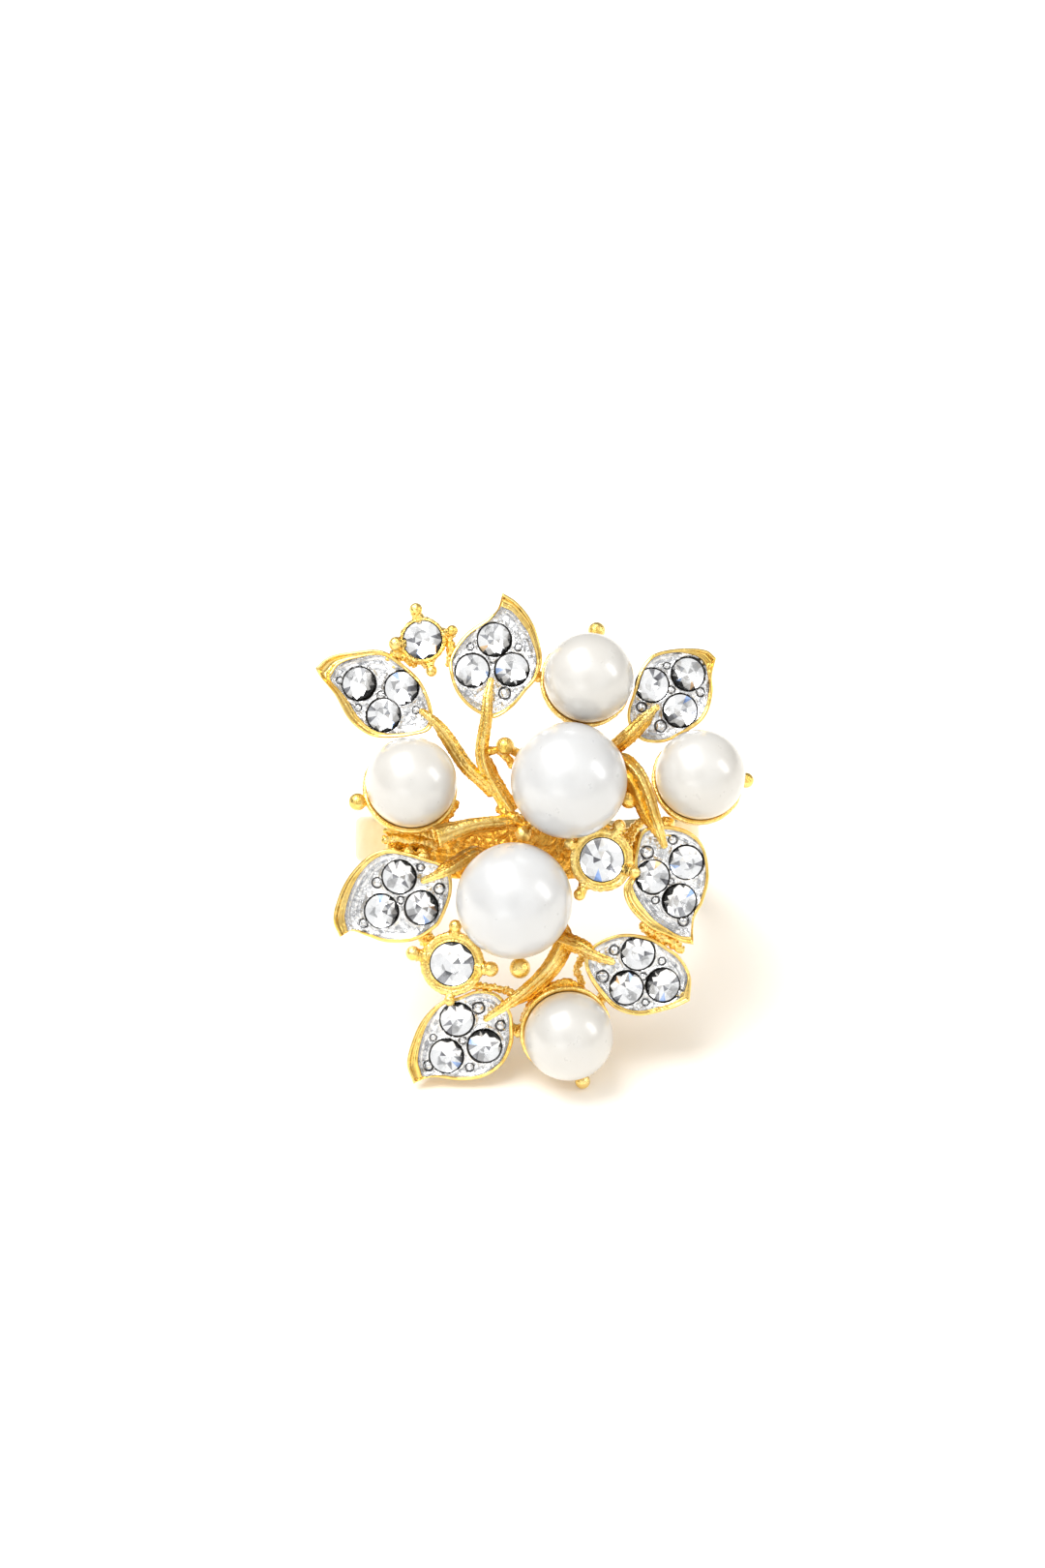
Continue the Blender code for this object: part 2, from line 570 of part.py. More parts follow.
for name, leaf in LEAVES.items():
    verts, faces = leaf_shape(leaf)
    body = link(name, verts, faces, gold)
    body.data.materials.append(rhodium)      # the sunk stone field is plated white
    body.data.polygons[-1].material_index = 1
    normal = leaf_normal(leaf)
    seats = []
    for k, (su, sv) in enumerate(leaf["stones"]):
        seat = Vector((su, sv, leaf_height(leaf, su, sv) - LEAF_SINK))
        seats.append(placed(lathe([(STONE_R * 0.45, -SEAT_DEPTH), (STONE_R + STONE_GAP, -0.20),
                                   (STONE_R + STONE_GAP, 0.40)], 12), seat, normal))
        stone = link(f"{name}_crystal_{k + 1}",
                     *placed(brilliant(STONE_R, 12), seat + normal * 0.04, normal), glass)
    if name in LEAF_LINKS:
        for k, (a, b, r) in enumerate(LEAF_LINKS[name]):
            boolean(body, link(f"{name}_link_{k + 1}", *rod(a, b, r, 8), None, cutter=True), "UNION")
    for k, seat in enumerate(seats):
        boolean(body, link(f"{name}_seat_{k + 1}", *seat, None, cutter=True), "DIFFERENCE")
    smooth(body, 30.0)

for name, (cu, cv, cw, stone_r, rim_r, depth, prongs) in COLLETS.items():
    a, b = away(cu, cv)
    slope = 0.012 * math.hypot(cu, cv)
    normal = Vector((slope * a, slope * b, 1.0)).normalized()
    middle = Vector((cu, cv, cw))
    seat_r = stone_r + 0.04
    profile = [(0.0, -depth), (0.62 * rim_r, -depth), (0.90 * rim_r, -0.55 * depth), (rim_r, -0.12),
               (rim_r - 0.08, 0.0), (seat_r + 0.05, 0.0), (seat_r, -0.06), (seat_r, -0.36),
               (0.50 * seat_r, -depth + 0.35), (0.0, -depth + 0.35)]
    collet = link(name, *placed(lathe(profile, 16), middle, normal), gold)
    extras = []
    for pu, pv, pr, lift in prongs:
        bead = Vector((pu, pv, cw - slope * ((pu - cu) * a + (pv - cv) * b) - 0.05 + lift))
        inward = (middle - bead)
        inward = (inward - normal * inward.dot(normal)).normalized()
        foot = middle - inward * (seat_r + 0.5 * (rim_r - seat_r)) - normal * (0.42 - 0.45 * lift)
        extras.append(bead_on_stalk(foot, bead, 0.72 * pr, pr))
    boolean(collet, link(name + "_prongs", *joined(extras), None, cutter=True), "UNION")
    smooth(collet)
    stone = link(name + "_crystal", *placed(brilliant(stone_r, 16), middle - normal * 0.12, normal), glass)

for name, (leaf_name, r_tip, r_root, line) in TWIGS.items():
    leaf = LEAVES[leaf_name]
    pts = []
    for k, (u, v, w) in enumerate(line):
        share = k / (len(line) - 1)
        radius = r_tip + (r_root - r_tip) * min(1.0, 2.0 * share)
        if w is None:
            w = leaf_height(leaf, u, v) + TWIG_LIFT + 0.10 * k
        pts.append((u, v, w, radius))
    twig = link(name, *tube(pts, 6, 12), gold)
    smooth(twig, 50.0)

stem = link("main_stem", *tube(STEM, 8, 13), gold)
first, second = Vector(STEM[0][:3]), Vector(STEM[1][:3])
inward = (second - first).normalized()
boolean(stem, link("main_stem_hollow", *placed(lathe([(0.62 * STEM[0][3], -0.3), (0.42 * STEM[0][3], STEM_HOLLOW)], 8),
                                               first, inward), None, cutter=True), "DIFFERENCE")
smooth(stem, 50.0)


# ---------------------------------------------------------------- resting pose
def resting(pieces):
    """Lean the head back until it rests on its lowest front point and on the
    lowest back edge of the band, then stand it on z = 0, centred on x and y."""
    points = [v.co.copy() for ob in pieces for v in ob.data.vertices]
    beads = [Vector((u, v, w)) * MM for row in CUPS.values() for u, v, w, _ in row[5]]
    radii = [r * MM for row in CUPS.values() for *_, r in row[5]]
    front = [p for p in points if p.z > BAND_CENTRE_W * MM * 0.5]
    back = [p for p in points if p.z < BAND_CENTRE_W * MM * 1.4]

    def drop(angle):
        c, s = math.sin(angle), math.cos(angle)
        low = min(p.y * c + p.z * s for p in front)
        low = min([low] + [b.y * c + b.z * s - r for b, r in zip(beads, radii)])
        return low - min(p.y * c + p.z * s for p in back)

    lo, hi = math.radians(40.0), math.radians(80.0)
    for _ in range(60):
        mid = 0.5 * (lo + hi)
        if drop(mid) > 0:
            lo = mid
        else:
            hi = mid
    return 0.5 * (lo + hi)


pieces = [ob for ob in bpy.data.objects if ob.type == "MESH" and not ob.hide_render]
lean = resting(pieces)
HEAD.rotation_euler = (lean, 0.0, 0.0)
turned = Matrix.Rotation(lean, 3, "X")
corners = []
graph = bpy.context.evaluated_depsgraph_get()
for ob in pieces:
    corners += [turned @ v.co for v in ob.evaluated_get(graph).data.vertices]
low = Vector((min(p[i] for p in corners) for i in range(3)))
high = Vector((max(p[i] for p in corners) for i in range(3)))
HEAD.location = (-0.5 * (low.x + high.x), -0.5 * (low.y + high.y), -low.z)
bpy.context.view_layer.update()
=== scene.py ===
"""Looks of the floral cluster ring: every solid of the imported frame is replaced
by a finished piece at the same place, then lit as on a white sweep.

The head frame is the one of the CAD part: u to the right, v up along the head
and along the finger hole, w out of the head, all in millimetres.
"""

import math

import bpy
import numpy as np
from mathutils import Matrix, Vector, noise
from mathutils.geometry import delaunay_2d_cdt


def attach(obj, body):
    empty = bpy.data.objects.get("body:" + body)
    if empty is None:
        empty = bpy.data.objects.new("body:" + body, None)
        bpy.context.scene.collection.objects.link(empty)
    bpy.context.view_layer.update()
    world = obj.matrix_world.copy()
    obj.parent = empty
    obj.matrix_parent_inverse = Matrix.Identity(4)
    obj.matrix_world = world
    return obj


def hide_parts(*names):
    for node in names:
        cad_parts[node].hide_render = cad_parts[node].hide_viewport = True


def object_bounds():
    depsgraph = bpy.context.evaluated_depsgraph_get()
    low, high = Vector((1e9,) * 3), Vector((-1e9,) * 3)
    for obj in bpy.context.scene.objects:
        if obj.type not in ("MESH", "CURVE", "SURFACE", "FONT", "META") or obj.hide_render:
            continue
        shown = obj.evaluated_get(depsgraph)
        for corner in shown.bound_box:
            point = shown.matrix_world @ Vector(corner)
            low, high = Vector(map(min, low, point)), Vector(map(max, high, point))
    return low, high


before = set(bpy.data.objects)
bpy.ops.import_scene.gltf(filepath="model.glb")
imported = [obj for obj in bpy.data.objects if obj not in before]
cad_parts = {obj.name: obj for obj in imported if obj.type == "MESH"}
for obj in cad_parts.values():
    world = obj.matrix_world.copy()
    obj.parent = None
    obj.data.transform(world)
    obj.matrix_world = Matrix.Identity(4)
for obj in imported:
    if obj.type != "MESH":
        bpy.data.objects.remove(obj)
CAD_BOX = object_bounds()

MM = 0.001
LEAN = math.radians(56.08168)
ORIGIN = Vector((-0.403, -4.487, 13.381))
TURN = Matrix.Rotation(LEAN, 4, "X")
HEAD = Matrix.Translation(ORIGIN * MM) @ TURN @ Matrix.Scale(MM, 4)

# ------------------------------------------------------------------ dimensions
BAND_INNER_R, BAND_OUTER_R = 9.35, 10.65
BAND_SIDES, BAND_BACK, BAND_SHOULDER = (1.27, -1.57), (0.80, -1.10), (0.50, -1.95)
BAND_CENTRE_W = -12.0
BAND_OPEN_DEG = 41.0
BRIDGE_OUTER_R = 10.20
BRIDGE_HALF_DEG = 41.3

PEARLS = {
    "pearl_upper_large": (2.50, 3.50, 2.60, 3.51),
    "pearl_lower_large": (-0.80, -3.75, 2.60, 3.51),
    "pearl_top": (3.70, 9.70, 1.20, 2.72),
    "pearl_right": (10.45, 3.85, 1.00, 2.72),
    "pearl_left": (-7.00, 3.40, 1.40, 2.75),
    "pearl_bottom": (2.50, -11.95, 0.90, 2.69),
}
PEARL_GAP = 0.04
PEG_R, PEG_LENGTH = 0.36, 1.30
DRILL_R, DRILL_LENGTH = 0.42, 1.45

CUPS = {
    "cup_upper_large": ("pearl_upper_large", 50.0, 0.42, 0.0, 0.0,
                        [(-1.35, 5.55, 0.75, 0.50), (6.15, 2.35, 0.25, 0.50), (-0.25, 0.25, 0.35, 0.46)]),
    "cup_lower_large": ("pearl_lower_large", 50.0, 0.42, 0.0, 0.0,
                        [(-0.45, -7.85, 0.40, 0.56)]),
    "cup_top": ("pearl_top", 68.0, 0.40, 18.0, 238.0, [(4.20, 12.55, -0.35, 0.46)]),
    "cup_right": ("pearl_right", 68.0, 0.42, 20.0, 245.0, [(13.25, 3.50, -0.50, 0.41)]),
    "cup_left": ("pearl_left", 68.0, 0.46, 22.0, 256.0, [(-10.25, 2.20, 0.90, 0.47)]),
    "cup_bottom": ("pearl_bottom", 68.0, 0.46, 21.0, 120.0, [(3.35, -14.75, -1.20, 0.41)]),
}

LEAF_THICK, LEAF_SINK, LEAF_SLOPE = 1.25, 0.35, 0.20
STONE_R = 0.985
SEAT_R = 1.055

LEAVES = {
    "leaf_upper_left": {
        "centre": (-9.05, 8.65), "w": -0.30,
        "outline": [
            (-12.85, 10.30, 1.20, 0.50), (-12.00, 11.00, 0.90, 0.40), (-10.55, 11.30, 0.55, 0.30),
            (-8.75, 11.35, 0.40, 0.15), (-7.30, 10.35, 0.30, 0.00), (-6.35, 9.35, 0.30, 0.00),
            (-5.75, 7.80, 0.35, 0.00), (-5.85, 6.60, 0.40, 0.00), (-7.00, 6.20, 0.35, 0.00),
            (-8.50, 6.05, 0.40, 0.00), (-9.65, 6.25, 0.55, 0.08), (-10.80, 7.15, 0.68, 0.15),
            (-11.70, 8.70, 0.68, 0.20), (-12.55, 9.75, 0.80, 0.35),
        ],
        "stones": [(-10.20, 9.35), (-7.62, 9.10), (-8.72, 7.45)],
        "grains": [(-8.86, 8.66, 0.22), (-11.35, 9.55, 0.20), (-6.75, 7.75, 0.20), (-10.25, 7.90, 0.18)],
    },
    "leaf_top": {
        "centre": (-1.95, 10.75), "w": 0.10,
        "outline": [
            (-1.50, 14.85, 0.95, 0.60), (-0.70, 14.35, 0.80, 0.50), (0.05, 13.50, 0.75, 0.40),
            (0.55, 12.50, 0.60, 0.30), (0.90, 10.90, 0.45, 0.15), (0.60, 9.70, 0.35, 0.05),
            (0.00, 8.95, 0.30, 0.00), (-0.90, 7.90, 0.30, 0.00), (-1.95, 7.25, 0.40, 0.00),
            (-2.80, 7.45, 0.30, 0.00), (-3.70, 8.05, 0.30, 0.00), (-4.40, 9.00, 0.30, 0.00),
            (-4.75, 10.30, 0.30, 0.00), (-4.60, 11.15, 0.30, 0.00), (-3.90, 12.20, 0.30, 0.00),
            (-3.20, 12.80, 0.30, 0.00), (-2.35, 13.35, 0.30, 0.05), (-1.80, 13.90, 0.30, 0.20),
        ],
        "stones": [(-2.00, 12.00), (-3.32, 10.15), (-0.95, 10.20)],
        "grains": [(-1.37, 8.77, 0.31), (-2.08, 10.86, 0.24), (-0.55, 11.55, 0.20), (-3.45, 11.60, 0.18)],
    },
    "leaf_upper_right": {
        "centre": (8.95, 8.85), "w": -0.35,
        "outline": [
            (11.45, 10.90, 0.90, 0.40), (10.80, 11.40, 0.70, 0.30), (9.35, 11.50, 0.35, 0.10),
            (7.90, 11.25, 0.30, 0.00), (7.20, 10.75, 0.25, 0.00), (6.70, 9.90, 0.25, 0.00),
            (6.35, 8.65, 0.25, 0.00), (6.05, 7.65, 0.25, 0.00), (6.15, 6.80, 0.25, 0.00),
            (6.75, 6.00, 0.30, 0.00), (7.60, 5.75, 0.30, 0.00), (8.60, 5.90, 0.30, 0.00),
            (10.25, 6.80, 0.35, 0.00), (10.95, 7.65, 0.35, 0.05), (11.25, 8.85, 0.35, 0.10),
            (11.20, 9.80, 0.35, 0.15),
        ],
        "stones": [(7.55, 9.25), (9.75, 9.95), (9.25, 7.72)],
        "grains": [(10.62, 10.72, 0.20), (6.92, 7.93, 0.26), (8.07, 6.78, 0.31), (10.50, 8.84, 0.22),
                   (8.72, 8.98, 0.20), (8.45, 10.45, 0.18)],
    },
    "leaf_left": {
        "centre": (-7.70, -3.75), "w": 0.60,
        "outline": [
            (-11.35, -6.00, 0.70, 0.40), (-11.75, -4.90, 0.85, 0.50), (-11.40, -3.45, 0.74, 0.50),
            (-10.70, -2.15, 0.60, 0.40), (-9.65, -1.10, 0.48, 0.30), (-8.50, -0.65, 0.40, 0.10),
            (-7.30, -0.85, 0.30, 0.00), (-5.85, -1.30, 0.30, 0.00), (-5.10, -1.60, 0.30, 0.00),
            (-4.60, -2.30, 0.30, 0.00), (-4.60, -3.45, 0.30, 0.00), (-5.15, -4.90, 0.30, 0.00),
            (-5.65, -5.50, 0.30, 0.00), (-6.85, -6.20, 0.25, 0.00), (-8.50, -6.30, 0.25, 0.00),
            (-9.65, -5.95, 0.25, 0.05), (-10.70, -5.62, 0.30, 0.20),
        ],
        "stones": [(-7.75, -2.35), (-8.82, -4.40), (-6.40, -4.20)],
        "grains": [(-9.09, -2.69, 0.27), (-9.92, -5.15, 0.23), (-5.32, -3.05, 0.28), (-6.45, -1.75, 0.20),
                   (-7.66, -3.75, 0.20)],
    },
    "leaf_lower_left": {
        "centre": (-3.90, -12.20), "w": -0.40,
        "outline": [
            (-6.90, -14.90, 0.80, 0.30), (-7.30, -13.70, 0.85, 0.40), (-6.95, -12.20, 0.65, 0.35),
            (-6.30, -10.90, 0.50, 0.20), (-5.25, -9.90, 0.35, 0.05), (-4.15, -9.60, 0.30, 0.00),
            (-3.00, -9.20, 0.30, 0.00), (-1.75, -9.45, 0.30, 0.00), (-1.00, -10.50, 0.30, 0.00),
            (-0.85, -11.40, 0.35, 0.00), (-0.90, -12.50, 0.35, 0.00), (-1.50, -13.70, 0.30, 0.00),
            (-2.65, -14.50, 0.25, 0.00), (-4.10, -14.70, 0.25, 0.00), (-5.45, -14.52, 0.25, 0.10),
            (-6.20, -14.60, 0.30, 0.20),
        ],
        "stones": [(-4.25, -11.00), (-4.90, -13.20), (-2.60, -12.60)],
        "grains": [(-2.95, -10.29, 0.31), (-1.62, -11.35, 0.26), (-6.00, -13.80, 0.26), (-3.50, -13.88, 0.22),
                   (-3.92, -12.27, 0.20), (-5.70, -12.10, 0.18)],
    },
    "leaf_right": {
        "centre": (8.65, -2.65), "w": 0.35,
        "outline": [
            (10.05, -6.45, 0.60, 0.20), (10.10, -4.95, 0.30, 0.10), (10.65, -3.85, 0.30, 0.00),
            (11.00, -2.30, 0.30, 0.00), (10.70, -0.55, 0.30, 0.00), (9.75, 0.45, 0.35, 0.00),
            (8.25, 0.80, 0.35, 0.00), (7.00, 0.50, 0.30, 0.00), (6.55, -0.80, 0.30, 0.00),
            (6.30, -2.10, 0.45, 0.05), (5.80, -3.05, 0.70, 0.20), (6.15, -4.20, 0.85, 0.30),
            (7.30, -5.35, 0.70, 0.30), (8.50, -5.90, 0.50, 0.25), (9.35, -6.30, 0.50, 0.20),
        ],
        "stones": [(7.60, -2.35), (9.62, -1.45), (9.20, -3.80)],
        "grains": [(7.25, -0.86, 0.33), (8.80, -0.10, 0.24), (9.45, -5.02, 0.28), (8.68, -2.62, 0.18),
                   (7.75, -3.75, 0.20)],
    },
    "leaf_lower_right": {
        "centre": (6.85, -8.30), "w": 0.10,
        "outline": [
            (9.85, -9.85, 0.60, 0.20), (9.90, -8.40, 0.30, 0.05), (9.35, -7.30, 0.30, 0.00),
            (8.50, -6.62, 0.30, 0.00), (7.30, -5.95, 0.25, 0.00), (5.55, -5.80, 0.25, 0.00),
            (3.95, -6.50, 0.25, 0.00), (3.45, -7.55, 0.35, 0.05), (4.00, -8.90, 0.40, 0.15),
            (5.20, -10.25, 0.40, 0.20), (6.75, -10.75, 0.40, 0.20), (8.50, -10.40, 0.45, 0.20),
            (9.35, -10.10, 0.55, 0.20),
        ],
        "stones": [(6.70, -6.98), (6.00, -9.05), (8.20, -8.90)],
        "grains": [(5.26, -6.78, 0.26), (4.56, -8.36, 0.31), (9.25, -9.42, 0.22), (7.02, -8.38, 0.20),
                   (8.15, -7.45, 0.20), (7.15, -9.95, 0.18)],
    },
}
LEAF_LINKS = {
    "leaf_left": [((-6.3, -1.7, -0.15), (-6.3, 0.02, -0.80), 0.56), ((-7.2, -1.5, -0.20), (-7.2, 0.04, -0.85), 0.58),
                  ((-8.1, -1.3, -0.25), (-8.0, 0.05, -0.90), 0.55),
                  ((-6.3, -5.4, -0.1), (-5.95, -6.12, -0.45), 0.38)],
    "leaf_top": [((0.0, 9.8, -0.45), (0.80, 9.75, -0.85), 0.36)],
    "leaf_upper_left": [((-8.0, 10.3, -0.95), (-7.9, 11.45, -1.15), 0.30)],
    "leaf_lower_left": [((-1.4, -11.5, -0.85), (-0.45, -11.7, -1.15), 0.42)],
    "leaf_right": [((8.3, 0.2, -0.1), (8.5, 1.05, -0.55), 0.45), ((7.9, -5.2, 0.0), (7.75, -5.95, -0.55), 0.32)],
    "leaf_lower_right": [((5.0, -9.3, -0.5), (4.45, -9.75, -1.30), 0.34)],
}

COLLETS = {
    "collet_upper_left": (-6.35, 12.00, -0.20, 1.15, 1.42, 1.40,
                          [(-6.75, 13.85, 0.32, 0.0), (-7.95, 11.75, 0.36, 0.1), (-4.55, 12.55, 0.28, 0.1), (-5.80, 10.10, 0.28, 0.0)]),
    "collet_lower_left": (-4.55, -7.60, 0.75, 1.31, 1.93, 1.75,
                          [(-6.90, -6.95, 0.36, 0.0), (-2.20, -7.90, 0.38, 0.0), (-4.35, -5.30, 0.32, 0.0), (-4.70, -9.80, 0.28, 0.0)]),
    "collet_centre_right": (4.50, -1.30, 0.95, 1.31, 1.93, 1.75,
                            [(5.55, 0.75, 0.33, 0.0), (6.45, -2.05, 0.30, 0.50), (3.15, -3.40, 0.30, 0.0), (2.50, -0.30, 0.30, 0.0)]),
}

TWIG_LIFT = 0.36
# name: leaf, half width at the leaf and at the root, centre line, side strands as
# (share along the line where they start, sideways, down, thickness)
TWIGS = {
    "twig_upper_left": ("leaf_upper_left", 0.22, 0.31,
                        [(-6.35, 7.65, None), (-5.55, 7.00, None), (-4.95, 6.35, 0.85), (-4.25, 5.30, 0.75),
                         (-3.55, 4.30, 0.55), (-2.78, 3.62, 0.40), (-2.05, 2.90, 0.15)],
                        (0.10, -0.25, -0.24, 0.78)),
    "twig_top": ("leaf_top", 0.22, 0.36,
                 [(-2.20, 9.50, None), (-2.40, 8.55, None), (-2.50, 7.20, 1.05), (-2.75, 5.30, 0.75),
                  (-2.45, 4.00, 0.50), (-1.75, 2.75, 0.25), (-1.10, 1.75, 0.00)],
                 (0.45, 0.30, -0.22, 0.75)),
    "twig_upper_right": ("leaf_upper_right", 0.22, 0.34,
                         [(7.80, 7.90, None), (7.00, 7.20, None), (6.15, 6.35, 0.95), (5.45, 5.75, 0.25),
                          (4.95, 5.30, -0.60)],
                         (0.05, 0.30, -0.22, 0.75)),
    "twig_right": ("leaf_right", 0.24, 0.44,
                   [(8.25, -0.40, None), (7.80, 1.00, None), (7.15, 2.95, 0.95), (6.50, 4.05, 0.55),
                    (5.60, 4.70, -0.25), (4.55, 4.10, -1.25), (3.75, 2.60, -1.55)],
                   (0.04, 0.52, -0.30, 1.10)),
    "twig_left": ("leaf_left", 0.22, 0.34,
                  [(-6.25, -2.55, None), (-4.95, -2.00, None), (-3.90, -1.40, 0.85), (-3.20, -1.00, 0.25),
                   (-2.60, -1.15, -0.75)],
                  (0.10, 0.28, -0.22, 0.70)),
    "twig_lower_left": ("leaf_lower_left", 0.22, 0.38,
                        [(-2.45, -10.90, None), (-0.90, -9.80, None), (0.60, -8.55, 0.65), (1.60, -7.35, 0.50),
                         (2.05, -6.10, -0.10), (1.30, -5.00, -1.40), (0.30, -4.65, -1.90)],
                        (0.10, -0.36, -0.20, 0.85)),
    "twig_lower_right": ("leaf_lower_right", 0.24, 0.34,
                         [(5.10, -7.45, None), (3.90, -7.00, None), (3.10, -6.60, 1.00), (2.65, -6.42, 0.75),
                          (2.15, -6.25, 0.35)],
                         (0.30, -0.30, -0.25, 0.80)),
}
STEM = [(-5.50, 0.12, 1.45, 0.64), (-4.75, 0.38, 1.25, 0.54), (-3.20, 0.85, 0.85, 0.38), (-1.45, 1.05, 0.20, 0.34),
        (-0.10, 1.15, -0.75, 0.34), (0.90, 1.10, -1.42, 0.32), (1.75, 0.90, -1.55, 0.30)]

# granulated cords and webs of cast metal, (u, v, w, radius) along each
CORDS = {
    "cup_bottom": [[(-0.30, -11.55, 0.10, 0.20), (-0.12, -10.75, 0.15, 0.24), (0.25, -10.00, 0.20, 0.26),
                    (0.85, -9.30, 0.20, 0.26), (1.65, -8.85, 0.15, 0.25), (2.55, -8.72, 0.10, 0.24),
                    (3.20, -9.10, 0.05, 0.22), (3.85, -9.55, -0.05, 0.20)]],
    "cup_left": [[(-4.35, 2.10, -0.05, 0.24), (-4.75, 1.45, 0.00, 0.27), (-5.45, 0.95, 0.05, 0.27), (-6.10, 0.75, 0.00, 0.22)]],
    "leaf_upper_left": [[(-8.40, 10.90, -0.75, 0.22), (-7.90, 11.20, -0.60, 0.28), (-7.35, 10.90, -0.60, 0.30), (-6.85, 10.55, -0.75, 0.24)],
                        [(-7.00, 11.05, -0.60, 0.22), (-6.45, 10.70, -0.50, 0.26), (-5.85, 10.30, -0.40, 0.24)]],
    "leaf_top": [[(-4.55, 12.55, -0.40, 0.22), (-4.72, 11.95, -0.50, 0.27), (-4.62, 11.25, -0.55, 0.27), (-4.80, 10.55, -0.70, 0.20)]],
    "leaf_left": [[(-8.55, -0.10, -0.25, 0.30), (-7.60, -0.12, -0.10, 0.38), (-6.60, -0.18, -0.05, 0.38), (-5.70, -0.45, -0.10, 0.34)],
                  [(-8.45, 0.45, -0.45, 0.30), (-7.50, 0.40, -0.30, 0.40), (-6.60, 0.30, -0.25, 0.40), (-5.70, 0.10, -0.30, 0.36)],
                  [(-8.00, 0.95, -0.60, 0.28), (-7.20, 0.90, -0.45, 0.34), (-6.40, 0.75, -0.35, 0.34)],
                  [(-6.50, -5.75, -0.25, 0.30), (-6.20, -6.20, -0.30, 0.34), (-5.85, -6.65, -0.20, 0.30)]],
    "leaf_lower_left": [[(-3.30, -8.95, -0.25, 0.22), (-2.20, -9.05, -0.20, 0.24), (-1.20, -9.25, -0.25, 0.22), (-0.60, -9.75, -0.35, 0.20)]],
    "leaf_lower_right": [[(3.30, -7.20, -0.55, 0.22), (3.00, -8.00, -0.75, 0.22), (3.30, -8.80, -0.80, 0.20)]],
    "leaf_right": [[(7.05, -5.30, -0.45, 0.30), (7.60, -5.75, -0.50, 0.46), (8.20, -6.30, -0.55, 0.36)],
                   [(7.95, -5.70, -0.45, 0.34), (8.55, -6.10, -0.50, 0.40), (9.25, -6.75, -0.55, 0.28)],
                   [(6.10, -0.20, -0.70, 0.30), (6.50, 0.60, -0.80, 0.30), (7.30, 1.20, -0.80, 0.26)]],
}


# --------------------------------------------------------------- mesh making
def make(name, verts, faces, mats, index=None, slot=None, stands_for=(), sharp=None):
    """A piece from head-frame points in millimetres."""
    mesh = bpy.data.meshes.new(name)
    mesh.from_pydata([tuple(v) for v in verts], [], faces)
    mesh.transform(HEAD)
    for m in mats:
        mesh.materials.append(m)
    if index is not None:
        mesh.polygons.foreach_set("material_index", index)
    mesh.validate(verbose=False)
    mesh.update()
    if sharp is None:
        mesh.shade_smooth()
    elif sharp > 0:
        mesh.shade_smooth()
        mesh.set_sharp_from_angle(angle=math.radians(sharp))
    ob = bpy.data.objects.new(name, mesh)
    bpy.context.scene.collection.objects.link(ob)
    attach(ob, "root")
    if stands_for:
        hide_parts(*stands_for)
    return ob


def eased(x, start, end):
    t = min(1.0, max(0.0, (x - start) / (end - start)))
    return t * t * (3 - 2 * t)


class Shape:
    """Points, faces and material numbers gathered from several closed shells."""

    def __init__(self):
        self.verts, self.faces, self.index = [], [], []

    def add(self, part, mat=0):
        verts, faces = part[0], part[1]
        index = part[2] if len(part) > 2 else [mat] * len(faces)
        base = len(self.verts)
        self.verts += [Vector(v) for v in verts]
        self.faces += [tuple(base + i for i in f) for f in faces]
        self.index += list(index)
        return self


def lathe(profile, segments):
    """Turned body from (radius, height[, material]) points, foot to head."""
    verts, faces, rings, index = [], [], [], []
    for row in profile:
        r, z = row[0], row[1]
        if r < 1e-9:
            rings.append([len(verts)])
            verts.append(Vector((0.0, 0.0, z)))
        else:
            rings.append(list(range(len(verts), len(verts) + segments)))
            for i in range(segments):
                a = 2 * math.pi * i / segments
                verts.append(Vector((r * math.cos(a), r * math.sin(a), z)))
    for k, (lower, upper) in enumerate(zip(rings, rings[1:])):
        m = profile[k + 1][2] if len(profile[k + 1]) > 2 else 0
        for i in range(segments):
            j = (i + 1) % segments
            if len(lower) == 1:
                faces.append((lower[0], upper[j], upper[i]))
            elif len(upper) == 1:
                faces.append((lower[i], lower[j], upper[0]))
            else:
                faces.append((lower[i], lower[j], upper[j], upper[i]))
            index.append(m)
    return verts, faces, index


def placed(shape, origin, axis=(0, 0, 1), spin=0.0):
    turn = Vector((0, 0, 1)).rotation_difference(Vector(axis).normalized()).to_matrix() @ Matrix.Rotation(spin, 3, "Z")
    origin = Vector(origin)
    return [turn @ Vector(v) + origin for v in shape[0]], shape[1], (shape[2] if len(shape) > 2 else [0] * len(shape[1]))


def lumps(p, size, seed=0.0):
    """0 to 1: rounded grains of about that size."""
    d = noise.voronoi(Vector((p[0] / size + seed, p[1] / size - seed, p[2] / size + 0.5 * seed)))[0][0]
    return max(0.0, 1.0 - 1.35 * d)


def rough(p, size, seed=0.0, octaves=3):
    """-1 to 1: soft fractal noise."""
    return noise.fractal(Vector((p[0] / size + seed, p[1] / size + 2 * seed, p[2] / size - seed)), 0.8, 2.0, octaves)


